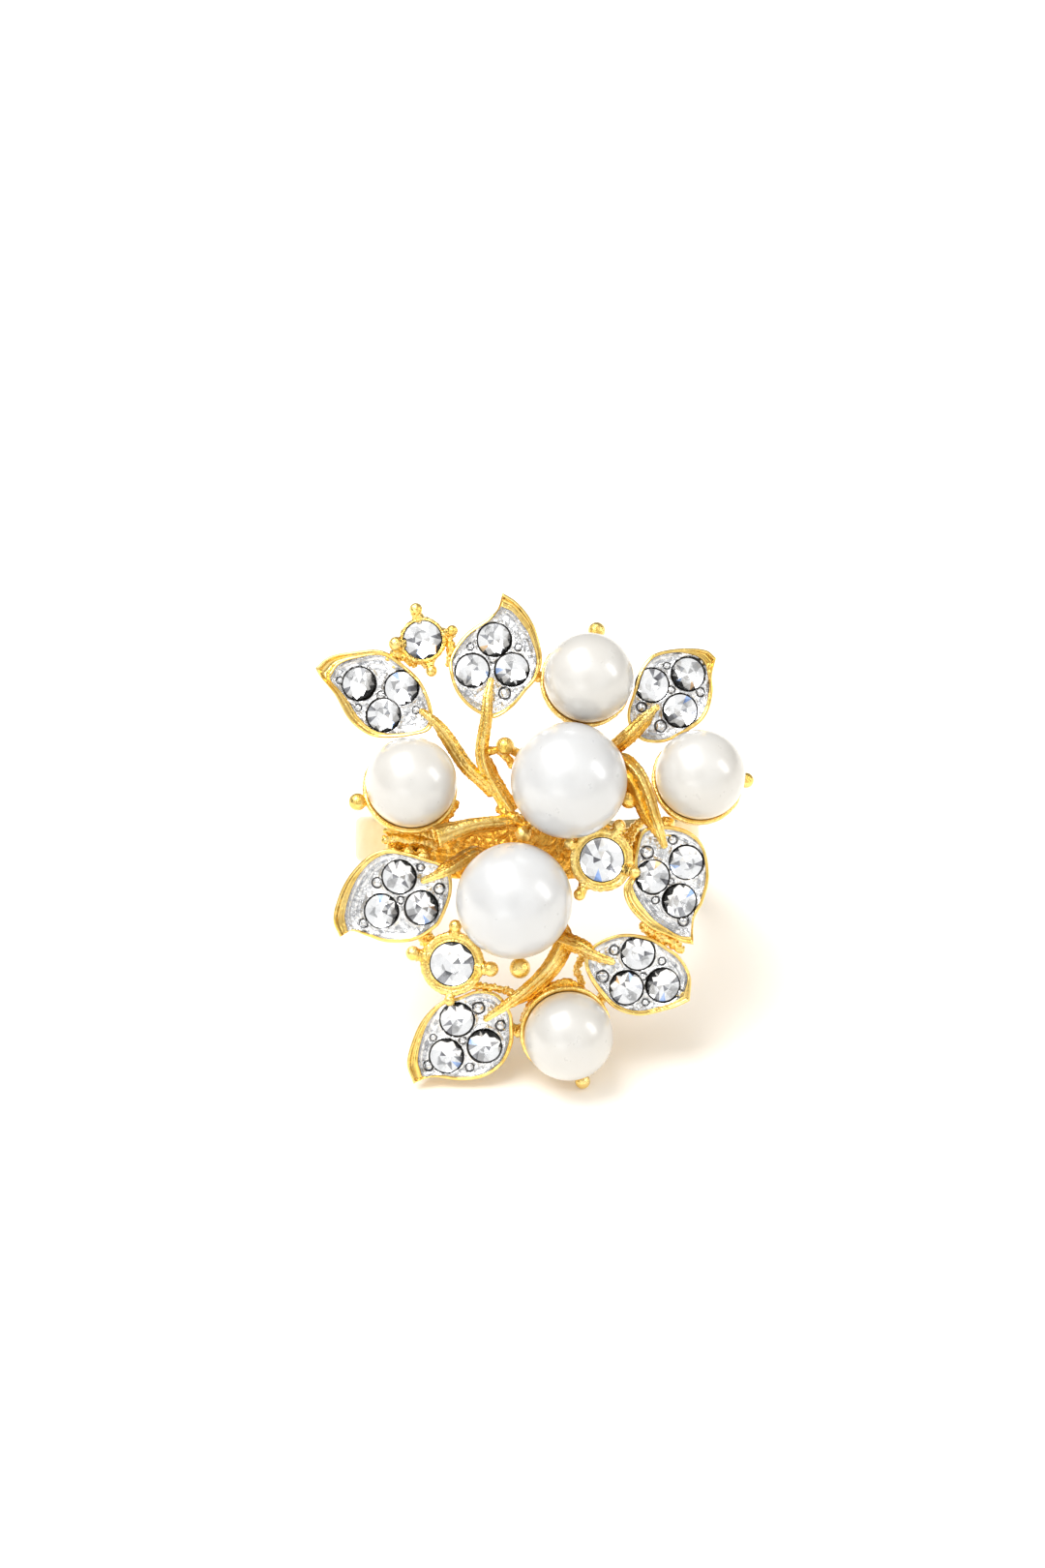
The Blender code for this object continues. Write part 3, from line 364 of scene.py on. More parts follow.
def spline(points, samples, closed=False):
    pts = [list(map(float, p)) for p in points]
    n = len(pts)
    spans = n if closed else n - 1

    def at(i):
        if closed:
            return pts[i % n]
        if i < 0:
            return [2 * a - b for a, b in zip(pts[0], pts[1])]
        if i >= n:
            return [2 * a - b for a, b in zip(pts[-1], pts[-2])]
        return pts[i]

    fine = []
    steps = 24
    for s in range(spans):
        p0, p1, p2, p3 = at(s - 1), at(s), at(s + 1), at(s + 2)
        for k in range(steps):
            t = k / steps
            fine.append([0.5 * (2 * b + (c - a) * t + (2 * a - 5 * b + 4 * c - d) * t * t
                                + (3 * b - a - 3 * c + d) * t * t * t)
                         for a, b, c, d in zip(p0, p1, p2, p3)])
    fine.append(list(at(spans)))
    length = [0.0]
    for a, b in zip(fine, fine[1:]):
        length.append(length[-1] + math.dist(a[:3], b[:3]) + 1e-9)
    out = []
    count = samples if closed else samples - 1
    k = 0
    for i in range(samples):
        want = length[-1] * i / count
        while k < len(fine) - 2 and length[k + 1] <= want:
            k += 1
        f = min(1.0, (want - length[k]) / (length[k + 1] - length[k]))
        out.append([a + (b - a) * f for a, b in zip(fine[k], fine[k + 1])])
    return out


def bar(line, samples, sides, section, tip=1.0, tail=1.0, grain=0.0, grain_size=0.12, lumpy=0.0, lump_size=0.22, seed=0.0):
    """A bar along (u, v, w, radius): section(angle, share) scales the radius; both
    ends are rounded; grain and lumps roughen the surface."""
    pts = spline(line, samples)
    centre = [Vector(p[:3]) for p in pts]
    radius = [p[3] for p in pts]
    rows = []
    side = Vector((0.02, 0.03, 1.0))
    frames = []
    for i, c in enumerate(centre):
        ahead = (centre[min(i + 1, samples - 1)] - centre[max(i - 1, 0)]).normalized()
        side = (side - ahead * side.dot(ahead)).normalized()
        frames.append((ahead, side.copy(), ahead.cross(side)))
    caps = 5

    def row(c, f, r, share):
        ring = []
        for k in range(sides):
            a = 2 * math.pi * k / sides
            out = f[1] * math.cos(a) + f[2] * math.sin(a)
            p = c + out * r * section(a, share)
            if grain:
                p = p + out * grain * rough(p, grain_size, seed)
            if lumpy:
                p = p + out * (lumpy * (lumps(p, lump_size, seed) - 0.35))
            ring.append(p)
        return ring

    for k in range(caps, 0, -1):
        t = 0.5 * math.pi * k / (caps + 1)
        rows.append(row(centre[0] - frames[0][0] * radius[0] * tip * math.sin(t), frames[0], radius[0] * math.cos(t), 0.0))
    for i in range(samples):
        rows.append(row(centre[i], frames[i], radius[i], i / (samples - 1)))
    for k in range(1, caps + 1):
        t = 0.5 * math.pi * k / (caps + 1)
        rows.append(row(centre[-1] + frames[-1][0] * radius[-1] * tail * math.sin(t), frames[-1], radius[-1] * math.cos(t), 1.0))
    verts = [centre[0] - frames[0][0] * radius[0] * tip]
    for r in rows:
        verts += r
    verts.append(centre[-1] + frames[-1][0] * radius[-1] * tail)
    faces = []
    for k in range(sides):
        faces.append((0, 1 + (k + 1) % sides, 1 + k))
    for i in range(len(rows) - 1):
        a, b = 1 + i * sides, 1 + (i + 1) * sides
        for k in range(sides):
            j = (k + 1) % sides
            faces.append((a + k, a + j, b + j, b + k))
    a, last = 1 + (len(rows) - 1) * sides, len(verts) - 1
    for k in range(sides):
        faces.append((a + k, a + (k + 1) % sides, last))
    return verts, faces


def plain_round(a, share):
    return 1.0


def bead_on_stalk(foot, middle, stalk_r, bead_r, segments=28, lumpy=0.0):
    """A polished ball on a neck that spreads into what it grows from."""
    foot, middle = Vector(foot), Vector(middle)
    reach = (middle - foot).length
    start = math.degrees(math.asin(min(0.98, stalk_r / bead_r)))
    neck_top = reach - bead_r * math.cos(math.radians(start))
    profile = [(0.0, 0.0), (stalk_r * 1.45, 0.0)]
    for k in range(1, 7):
        t = k / 7
        profile.append((stalk_r * (1.0 + 0.45 * (1 - t) ** 2), neck_top * t))
    t = start
    while t < 178:
        profile.append((bead_r * math.sin(math.radians(t)), reach - bead_r * math.cos(math.radians(t))))
        t += 9.0
    profile.append((0.0, reach + bead_r))
    verts, faces, index = placed(lathe(profile, segments), foot, middle - foot)
    if lumpy:
        for k, v in enumerate(verts):
            off = v - foot
            along = off.dot((middle - foot).normalized())
            if along < neck_top:
                out = off - (middle - foot).normalized() * along
                if out.length > 1e-6:
                    verts[k] = v + out.normalized() * lumpy * (lumps(v, 0.20) - 0.3)
    return verts, faces, index


# ---------------------------------------------------------------------- leaves
def away(u, v):
    r = math.hypot(u, v)
    return u / r, v / r


def leaf_height(leaf, u, v):
    cu, cv = leaf["centre"]
    a, b = away(cu, cv)
    return leaf["w"] - LEAF_SLOPE * ((u - cu) * a + (v - cv) * b)


def leaf_normal(leaf):
    a, b = away(*leaf["centre"])
    return Vector((LEAF_SLOPE * a, LEAF_SLOPE * b, 1.0)).normalized()


def leaf_outline(leaf, samples):
    line = leaf["outline"] + [leaf["outline"][0]]
    rows = [list(p[:2]) + [0.0] + list(p[2:]) for p in line]
    return [(p[0], p[1], p[3], p[4]) for p in spline(rows, samples + 1)[:-1]]


def inset(point, centre, distance):
    du, dv = centre[0] - point[0], centre[1] - point[1]
    r = math.hypot(du, dv)
    k = min(distance / r, 0.97)
    return point[0] + du * k, point[1] + dv * k


def rim_width(p):
    """Gold left bare on the rim; the white plating climbs its inner slope."""
    return 0.185 + max(0.0, p[2] - 0.30) * 0.95


def casting(leaf, samples=176):
    """The gold dish: domed back, rounded wall, a rim that flares into a hollowed
    lip with a fine inner ridge, and the floor under the stone field."""
    centre = leaf["centre"]
    edge = leaf_outline(leaf, samples)
    rings = []

    def ring(fn):
        row = []
        for k, p in enumerate(edge):
            d, h = fn(p)
            u, v = inset(p, centre, d)
            row.append(Vector((u, v, leaf_height(leaf, u, v) + h)))
        rings.append(row)

    def flare(p):
        """How far the lip overhangs the back of the dish."""
        return max(0.0, p[2] - 0.30)

    ring(lambda p: (2.20, -LEAF_THICK - 0.05))
    ring(lambda p: (1.35 + 0.75 * flare(p), -LEAF_THICK - 0.05))
    ring(lambda p: (0.85 + 1.10 * flare(p), -LEAF_THICK - 0.02))
    ring(lambda p: (0.58 + 1.20 * flare(p), -LEAF_THICK + 0.04))
    ring(lambda p: (0.40 + 1.20 * flare(p), -LEAF_THICK + 0.14))
    ring(lambda p: (0.24 + 1.10 * flare(p), -LEAF_THICK + 0.32))
    ring(lambda p: (0.12 + 0.78 * flare(p), -0.70 + 0.30 * p[3]))
    ring(lambda p: (0.05 + 0.42 * flare(p), -0.42 + 0.70 * p[3]))
    ring(lambda p: (0.02 + 0.14 * flare(p), -0.30 + 0.88 * p[3]))
    ring(lambda p: (0.00, p[3] - 0.20))
    ring(lambda p: (0.005, p[3] - 0.11))
    ring(lambda p: (0.03, p[3] - 0.035))
    ring(lambda p: (0.075, p[3]))
    ring(lambda p: (0.125, p[3] - 0.005))
    for t in (0.14, 0.28, 0.42, 0.56, 0.70, 0.82, 0.90):
        ring(lambda p, t=t: (0.125 + (rim_width(p) - 0.125) * t,
                             p[3] * (1 - 0.65 * t) - 0.32 * max(0.0, p[2] - 0.30) * math.sin(math.pi * min(1.0, t / 0.9)) ** 1.0))
    ring(lambda p: (rim_width(p) + 0.005, 0.35 * p[3] - 0.004))
    ring(lambda p: (rim_width(p) + 0.03, 0.35 * p[3] - 0.05))
    ring(lambda p: (rim_width(p) + 0.06, 0.35 * p[3] - 0.15))
    ring(lambda p: (rim_width(p) + 0.09, -0.30))
    ring(lambda p: (rim_width(p) + 0.13, -0.50))
    ring(lambda p: (rim_width(p) + 0.15, -0.72))
    n = len(edge)
    verts = []
    for row in rings:
        for p in row:
            wave = 0.014 * rough(p, 0.7, 3.1) + 0.006 * rough(p, 0.22, 1.7)
            verts.append(p + Vector((0, 0, wave)))
    cu, cv = centre
    low = len(verts)
    verts.append(Vector((cu, cv, leaf_height(leaf, cu, cv) - LEAF_THICK - 0.06)))
    high = len(verts)
    verts.append(Vector((cu, cv, leaf_height(leaf, cu, cv) - 0.72)))
    faces = []
    for r in range(len(rings) - 1):
        for i in range(n):
            j = (i + 1) % n
            faces.append((r * n + i, r * n + j, (r + 1) * n + j, (r + 1) * n + i))
    last = (len(rings) - 1) * n
    for i in range(n):
        j = (i + 1) % n
        faces.append((j, i, low))
        faces.append((last + i, last + j, high))
    turn = sum(edge[i][0] * edge[(i + 1) % n][1] - edge[(i + 1) % n][0] * edge[i][1] for i in range(n))
    if turn < 0:
        faces = [tuple(reversed(f)) for f in faces]
    return verts, faces


def field(leaf, seed, spacing=0.072):
    """The white plated floor: engraved relief, a raised collar and a blind seat
    for each stone, raised grains in cut rings. Materials: 0 plating, 1 painted
    shade, near-black, in the seats and the cut rings."""
    centre = leaf["centre"]
    edge = leaf_outline(leaf, 132)
    loop = [inset(p, centre, rim_width(p) + 0.035) for p in edge]
    lifts = [p[3] for p in edge]
    turn = sum(loop[i][0] * loop[(i + 1) % len(loop)][1] - loop[(i + 1) % len(loop)][0] * loop[i][1] for i in range(len(loop)))
    if turn < 0:
        loop.reverse()
        lifts.reverse()
    lifts = np.array(lifts)
    poly = np.array(loop)
    nxt = np.roll(poly, -1, axis=0)

    def to_edge(q):
        """Distance to the loop, negative outside."""
        d = nxt - poly
        t = np.clip(((q[:, None, :] - poly) * d).sum(2) / (d * d).sum(1), 0, 1)
        near = poly + t[..., None] * d
        dist = np.sqrt(((q[:, None, :] - near) ** 2).sum(2)).min(1)
        x, y = q[:, 0][:, None], q[:, 1][:, None]
        cross = ((poly[:, 1] > y) != (nxt[:, 1] > y)) & (
            x < (nxt[:, 0] - poly[:, 0]) * (y - poly[:, 1]) / (nxt[:, 1] - poly[:, 1] + 1e-12) + poly[:, 0])
        return np.where(cross.sum(1) % 2 == 1, dist, -dist)

    def lift_near(q):
        return lifts[np.argmin(((q[:, None, :] - poly) ** 2).sum(2), axis=1)]

    stones, grains = leaf["stones"], leaf["grains"]
    pts = [tuple(p) for p in loop]
    outline = list(range(len(pts)))
    edges = []
    seat_rings = []
    SEG = 64
    for su, sv in stones:
        base = len(pts)
        for k in range(SEG):
            a = 2 * math.pi * k / SEG
            pts.append((su + SEAT_R * math.cos(a), sv + SEAT_R * math.sin(a)))
        edges += [(base + k, base + (k + 1) % SEG) for k in range(SEG)]
        seat_rings.append(base)
        for rr in (0.045, 0.10, 0.17):
            count = 72
            ring = [(su + (SEAT_R + rr) * math.cos(2 * math.pi * k / count), sv + (SEAT_R + rr) * math.sin(2 * math.pi * k / count))
                    for k in range(count)]
            ok = to_edge(np.array(ring)) > 0.03
            for q, good in zip(ring, ok):
                if good and all(math.dist(q, s) > SEAT_R + 0.03 for s in stones):
                    pts.append(q)
    for gu, gv, gr in grains:
        for rr, count in ((0.0, 1), (0.35, 8), (0.65, 14), (0.85, 18), (0.97, 22), (1.08, 22), (1.30, 24), (1.5, 24)):
            ring = [(gu + gr * rr * math.cos(2 * math.pi * k / count), gv + gr * rr * math.sin(2 * math.pi * k / count)) for k in range(count)]
            ok = to_edge(np.array(ring)) > 0.03
            for q, good in zip(ring, ok):
                if good and all(math.dist(q, s) > SEAT_R + 0.03 for s in stones):
                    pts.append(q)
    lo, hi = poly.min(0), poly.max(0)
    rows = []
    y, r = lo[1], 0
    while y < hi[1]:
        x = lo[0] + (spacing / 2 if r % 2 else 0)
        while x < hi[0]:
            rows.append((x, y))
            x += spacing
        y += spacing * 0.866
        r += 1
    grid = np.array(rows)
    keep = to_edge(grid) > 0.04
    for su, sv in stones:
        keep &= np.hypot(grid[:, 0] - su, grid[:, 1] - sv) > SEAT_R + 0.19
    for gu, gv, gr in grains:
        keep &= np.hypot(grid[:, 0] - gu, grid[:, 1] - gv) > gr * 1.55
    pts += [tuple(p) for p in grid[keep]]
    out = delaunay_2d_cdt([Vector(p) for p in pts], edges, [outline], 1, 1e-7)
    xy = np.array([(p.x, p.y) for p in out[0]])
    tris = [t for t in out[2]]
    origin = out[3]
    back = {}
    for new, olds in enumerate(origin):
        for o in olds:
            back.setdefault(o, new)

    d_edge = to_edge(xy)
    d_edge = np.maximum(d_edge, 0)
    d_seat = np.full(len(xy), 9.0)
    for su, sv in stones:
        d_seat = np.minimum(d_seat, np.hypot(xy[:, 0] - su, xy[:, 1] - sv) - SEAT_R)
    d_seat = np.maximum(d_seat, 0)
    h = np.full(len(xy), -LEAF_SINK)
    climb = np.clip(1.0 - d_edge / (0.34 + 0.25 * lift_near(xy)), 0, 1)
    h += (LEAF_SINK - 0.035 + 0.35 * lift_near(xy)) * climb ** 1.5
    h += 0.13 * np.exp(-(np.maximum(d_seat - 0.05, 0) / 0.11) ** 2)
    h -= 0.05 * np.exp(-((d_seat - 0.0) / 0.03) ** 2)
    calm = np.clip(d_seat / 0.16, 0, 1) * np.clip(d_edge / 0.06, 0, 1)
    for i in range(len(xy)):
        p = (xy[i, 0], xy[i, 1], 0.0)
        along = rough(p, 0.9, seed + 2.0)
        strokes = math.cos(2 * math.pi * (d_edge[i] + 0.05 * along) / 0.25)
        window = math.exp(-((d_edge[i] - 0.42) / 0.30) ** 2) * min(1.0, max(0.0, 0.75 + 1.2 * along))
        crumbs = 0.085 * (lumps(p, 0.34, seed) - 0.30) * min(1.0, max(0.0, 0.8 - 1.1 * along))
        h[i] += calm[i] * (0.060 * strokes * window + crumbs + 0.030 * rough(p, 0.16, seed + 5.0))
    for gu, gv, gr in grains:
        d = np.hypot(xy[:, 0] - gu, xy[:, 1] - gv)
        inside = d < gr * 1.02
        dome = np.sqrt(np.maximum(0, 1 - (d / (gr * 1.02)) ** 2)) * gr * 0.85
        groove = np.exp(-((d - 1.17 * gr) / (0.16 * gr)) ** 2) * 0.10
        h = np.where(inside, -LEAF_SINK - 0.04 + dome, h - np.where(inside, 0, groove))
    plane = np.array([leaf_height(leaf, x, y) for x, y in xy])
    verts = [Vector((x, y, z)) for x, y, z in zip(xy[:, 0], xy[:, 1], plane + h)]
    faces, index = [], []
    seats = np.array(stones)
    for t in tris:
        mid = xy[list(t)].mean(0)
        if np.hypot(seats[:, 0] - mid[0], seats[:, 1] - mid[1]).min() < SEAT_R * 0.995:
            continue
        a, b, c = xy[t[0]], xy[t[1]], xy[t[2]]
        if (b[0] - a[0]) * (c[1] - a[1]) - (c[0] - a[0]) * (b[1] - a[1]) < 0:
            t = tuple(reversed(t))
        faces.append(tuple(t))
        # faces in a cut ring round a grain take material 1, the near-black painted shade
        ring = 0
        for gu, gv, gr in grains:
            if 1.04 * gr < math.hypot(mid[0] - gu, mid[1] - gv) < 1.30 * gr:
                ring = 1
        index.append(ring)
    # each seat's wall and floor take material 1, the near-black painted shade
    for (su, sv), base in zip(stones, seat_rings):
        top = [back[base + k] for k in range(SEG)]
        levels = [(SEAT_R, -LEAF_SINK - 0.20), (SEAT_R - 0.12, -LEAF_SINK - 0.24), (0.30, -LEAF_SINK - 0.31)]
        prev = top
        for rr, hh in levels:
            cur = []
            for k in range(SEG):
                a = 2 * math.pi * k / SEG
                x, y = su + rr * math.cos(a), sv + rr * math.sin(a)
                cur.append(len(verts))
                verts.append(Vector((x, y, leaf_height(leaf, x, y) + hh)))
            for k in range(SEG):
                j = (k + 1) % SEG
                faces.append((prev[k], prev[j], cur[j], cur[k]))
                index.append(1)
            prev = cur
        pole = len(verts)
        verts.append(Vector((su, sv, leaf_height(leaf, su, sv) - LEAF_SINK - 0.32)))
        for k in range(SEG):
            faces.append((prev[k], prev[(k + 1) % SEG], pole))
            index.append(1)
    rim = [back[i] for i in outline]
    low = []
    for i in rim:
        x, y = xy[i]
        low.append(len(verts))
        verts.append(Vector((x, y, leaf_height(leaf, x, y) - 0.705)))
    n = len(rim)
    for i in range(n):
        j = (i + 1) % n
        faces.append((rim[j], rim[i], low[i], low[j]))
        index.append(0)
    pole = len(verts)
    cu, cv = centre
    verts.append(Vector((cu, cv, leaf_height(leaf, cu, cv) - 0.705)))
    for i in range(n):
        faces.append((low[(i + 1) % n], low[i], pole))
        index.append(0)
    return verts, faces, index


def brilliant(R, fire, table=0.50, crown=0.13, star=0.76, pavilion=0.155, lower=0.42, arc=3):
    """A round cut stone with its girdle at height 0: table, 8 stars, 8 kites, 16
    upper girdle facets, 8 mains and 16 lower girdle facets. Materials: 0 glass,
    1 foiled back, 2 and 3 foil with painted blue and amber glints, 4 foil with
    painted shade."""
    # b and a mark painted blue and amber glints, d marks painted shade
    kinds = {"b": 2, "a": 3, "d": 4}
    n = 8
    t, c, s, p, lo = table * R, crown * R, star * R, pavilion * R, lower * R
    g = 0.025 * R
    half = math.pi / n
    verts, faces, index = [], [], []

    def add(x, y, z):
        verts.append(Vector((x, y, z)))
        return len(verts) - 1

    def polar(r, a, z):
        return add(r * math.cos(a), r * math.sin(a), z)

    T = [polar(t, 2 * half * k, g + c) for k in range(n)]
    zs = g + c * (R - s * math.cos(half)) / (R - t)
    S = [polar(s, 2 * half * k + half, zs) for k in range(n)]
    zl = -g - 0.088 * (R - lo * math.cos(half))
    L = [polar(lo, 2 * half * k + half, zl) for k in range(n)]
    C = add(0, 0, -p)

    def plane_z(i, a, b, x, y):
        P, A, B = verts[i], a, b
        nrm = (A - P).cross(B - P)
        return P.z - (nrm.x * (x - P.x) + nrm.y * (y - P.y)) / nrm.z

    # girdle points, upper and lower, arc points lie in their facet's plane
    up, dn = [], []
    for q in range(2 * n):
        a0, a1 = half * q, half * (q + 1)
        k = (q // 2) % n
        A = Vector((R * math.cos(a0), R * math.sin(a0), g))
        B = Vector((R * math.cos(a1), R * math.sin(a1), g))
        A2, B2 = A.copy(), B.copy()
        A2.z = B2.z = -g
        for j in range(arc):
            a = a0 + (a1 - a0) * j / arc
            x, y = R * math.cos(a), R * math.sin(a)
            up.append(add(x, y, plane_z(S[k], A, B, x, y) if j else g))
            dn.append(add(x, y, plane_z(L[k], A2, B2, x, y) if j else -g))
    m = len(up)
    faces.append(tuple(T))
    index.append(0)
    for k in range(n):
        k1 = (k + 1) % n
        faces.append((T[k], S[k], T[k1]))
        index.append(0)
        at = 2 * arc * k
        faces.append((T[k], S[(k - 1) % n], up[at], S[k]))
        index.append(0)
        faces.append((S[k],) + tuple(up[(at + j) % m] for j in range(arc + 1)))
        index.append(0)
        faces.append((S[k],) + tuple(up[(at + arc + j) % m] for j in range(arc + 1)))
        index.append(0)
        faces.append((C, L[k], L[(k - 1) % n]))
        index.append(kinds.get(fire.get(("m", k)), 1))
        faces.append((L[k], dn[at], L[(k - 1) % n]))
        index.append(kinds.get(fire.get(("m", (3 * k + 1) % n)), 1))
        for half_no in range(2):
            start = at + arc * half_no
            row = [dn[(start + j) % m] for j in range(arc + 1)]
            faces.append((L[k],) + tuple(reversed(row)))
            index.append(kinds.get(fire.get(("l", 2 * k + half_no)), 1))
    for i in range(m):
        j = (i + 1) % m
        faces.append((up[i], dn[i], dn[j], up[j]))
        index.append(1)
    return verts, faces, index


# ------------------------------------------------------------------- materials
def shader_material(name, colour, metallic, roughness):
    m = bpy.data.materials.new(name)
    m.use_nodes = True
    tree = m.node_tree
    bsdf = tree.nodes["Principled BSDF"]
    bsdf.inputs["Base Color"].default_value = (*colour, 1.0)
    bsdf.inputs["Metallic"].default_value = metallic
    bsdf.inputs["Roughness"].default_value = roughness
    m.diffuse_color = (*colour, 1.0)
    return m, tree, bsdf


def in_mm(tree):
    """Object coordinates in millimetres."""
    place = tree.nodes.new("ShaderNodeTexCoord")
    scale = tree.nodes.new("ShaderNodeVectorMath")
    scale.operation = "SCALE"
    scale.inputs["Scale"].default_value = 1000.0
    tree.links.new(place.outputs["Object"], scale.inputs[0])
    return scale.outputs["Vector"]


def noise_node(tree, at, scale, detail=3.0, rough_=0.55, distortion=0.0):
    n = tree.nodes.new("ShaderNodeTexNoise")
    n.inputs["Scale"].default_value = scale
    n.inputs["Detail"].default_value = detail
    n.inputs["Roughness"].default_value = rough_
    n.inputs["Distortion"].default_value = distortion
    tree.links.new(at, n.inputs["Vector"])
    return n.outputs["Fac"]


def ramp(tree, value, stops):
    r = tree.nodes.new("ShaderNodeValToRGB")
    r.color_ramp.elements[0].position, r.color_ramp.elements[0].color = stops[0][0], (*stops[0][1], 1.0)
    r.color_ramp.elements[1].position, r.color_ramp.elements[1].color = stops[-1][0], (*stops[-1][1], 1.0)
    for pos, col in stops[1:-1]:
        e = r.color_ramp.elements.new(pos)
        e.color = (*col, 1.0)
    tree.links.new(value, r.inputs["Fac"])
    return r.outputs["Color"]


def span(tree, value, lo, hi, from_lo=0.3, from_hi=0.7):
    n = tree.nodes.new("ShaderNodeMapRange")
    n.inputs["From Min"].default_value = from_lo
    n.inputs["From Max"].default_value = from_hi
    n.inputs["To Min"].default_value = lo
    n.inputs["To Max"].default_value = hi
    tree.links.new(value, n.inputs["Value"])
    return n.outputs["Result"]


def bump(tree, bsdf, height, distance, strength=1.0, after=None):
    n = tree.nodes.new("ShaderNodeBump")
    n.inputs["Distance"].default_value = distance * MM
    n.inputs["Strength"].default_value = strength
    tree.links.new(height, n.inputs["Height"])
    if after is not None:
        tree.links.new(after, n.inputs["Normal"])
    tree.links.new(n.outputs["Normal"], bsdf.inputs["Normal"])
    return n.outputs["Normal"]


def gold(name, light, deep, rough_lo, rough_hi, grain, grain_scale, hollow_shade=None, hollow_shade_by=0.85):
    """Plated metal: broad tone, worn sheen, fine cast grain, and painted shade: the colour turns darker orange in
    hollows.
    """
    m, tree, bsdf = shader_material(name, light, 1.0, rough_lo)
    at = in_mm(tree)
    tone = noise_node(tree, at, 1.1, 4.0, 0.6)
    colour = ramp(tree, tone, [(0.30, deep), (0.62, light)])
    if hollow_shade is not None:
        # soft brown streaks laid at random into the colour
        streak = noise_node(tree, at, 0.75, 5.0, 0.62, 1.4)
        dull = tree.nodes.new("ShaderNodeMix")
        dull.data_type = "RGBA"
        tree.links.new(span(tree, streak, 0.0, 0.55, 0.50, 0.66), dull.inputs["Factor"])
        tree.links.new(colour, dull.inputs["A"])
        dull.inputs["B"].default_value = (*[0.72 * c for c in deep], 1.0)
        colour = dull.outputs["Result"]
        # painted shade: where pointiness is low, in hollows and creases, the colour turns to the given hollow colour
        shape = tree.nodes.new("ShaderNodeNewGeometry")
        mix = tree.nodes.new("ShaderNodeMix")
        mix.data_type = "RGBA"
        tree.links.new(span(tree, shape.outputs["Pointiness"], hollow_shade_by, 0.0, 0.435, 0.500), mix.inputs["Factor"])
        tree.links.new(colour, mix.inputs["A"])
        mix.inputs["B"].default_value = (*hollow_shade, 1.0)
        colour = mix.outputs["Result"]
    tree.links.new(colour, bsdf.inputs["Base Color"])
    wear = noise_node(tree, at, 3.2, 5.0, 0.65)
    tree.links.new(span(tree, wear, rough_lo, rough_hi), bsdf.inputs["Roughness"])
    fine = noise_node(tree, at, grain_scale, 3.0, 0.6)
    bump(tree, bsdf, fine, grain, 1.0)
    return m


# the last colour given to gold() is painted shade for the hollows
GOLD_LIGHT, GOLD_DEEP = (0.94, 0.70, 0.26), (0.86, 0.56, 0.13)
gold_polished = gold("gold_polished", GOLD_LIGHT, GOLD_DEEP, 0.06, 0.12, 0.020, 2.4, (0.52, 0.28, 0.05), 0.60)
gold_cast = gold("gold_cast", (0.96, 0.73, 0.28), (0.87, 0.56, 0.11), 0.06, 0.12, 0.070, 5.0, (0.50, 0.27, 0.04))
# a deeper orange copy of the plating gold for the bridge plate, the stem's bore and low strands, the twigs' side
# strands and the cup cords: painted shade and painted gold interreflection; its lumpy casting is real
gold_rough_painted_shade = gold("gold_rough_painted_shade", (0.93, 0.60, 0.14), (0.82, 0.43, 0.05), 0.07, 0.15, 0.075, 5.0, (0.42, 0.18, 0.02))
# the band's gold is a darker, duller copy of the plating gold: painted shade
gold_band_painted_shade = gold("gold_band_painted_shade", (0.64, 0.505, 0.28), (0.59, 0.455, 0.23), 0.20, 0.28, 0.003, 3.0)

rhodium, tree, bsdf = shader_material("rhodium_engraved", (0.84, 0.845, 0.86), 1.0, 0.20)
at = in_mm(tree)
tone = noise_node(tree, at, 2.4, 4.0, 0.6)
tree.links.new(ramp(tree, tone, [(0.32, (0.50, 0.505, 0.52)), (0.60, (0.80, 0.805, 0.815))]), bsdf.inputs["Base Color"])
tree.links.new(span(tree, noise_node(tree, at, 4.0, 4.0), 0.10, 0.22), bsdf.inputs["Roughness"])
bump(tree, bsdf, noise_node(tree, at, 9.0, 3.0, 0.6), 0.024)

# near-black colour for the stone seats and the cut rings round the grains: painted shade in the recesses
recess_painted_shade, tree, bsdf = shader_material("seat_painted_shade", (0.05, 0.045, 0.04), 0.7, 0.45)
at = in_mm(tree)
tree.links.new(ramp(tree, noise_node(tree, at, 3.0, 3.0), [(0.3, (0.03, 0.027, 0.025)), (0.7, (0.10, 0.09, 0.08))]),
               bsdf.inputs["Base Color"])

crystal, tree, bsdf = shader_material("cut_crystal", (1.0, 1.0, 1.0), 0.0, 0.0)
bsdf.inputs["Transmission Weight"].default_value = 1.0
bsdf.inputs["IOR"].default_value = 1.56


def foil(name, colour, dark):
    m, tree, bsdf = shader_material(name, colour, 1.0, 0.04)
    at = in_mm(tree)
    tree.links.new(ramp(tree, noise_node(tree, at, 1.6, 2.0), [(0.35, dark), (0.60, colour)]), bsdf.inputs["Base Color"])
    return m


foil_silver = foil("foil_silver", (0.95, 0.955, 0.965), (0.88, 0.89, 0.91))
# the blue and amber foils are painted glints of coloured fire; the grey foil is painted shade
foil_painted_blue_glint = foil("painted_blue_glint", (0.50, 0.66, 1.0), (0.30, 0.48, 0.95))
foil_painted_shade = foil("painted_shade_foil", (0.40, 0.41, 0.44), (0.16, 0.16, 0.18))
foil_painted_amber_glint = foil("painted_amber_glint", (1.0, 0.72, 0.42), (0.85, 0.48, 0.25))


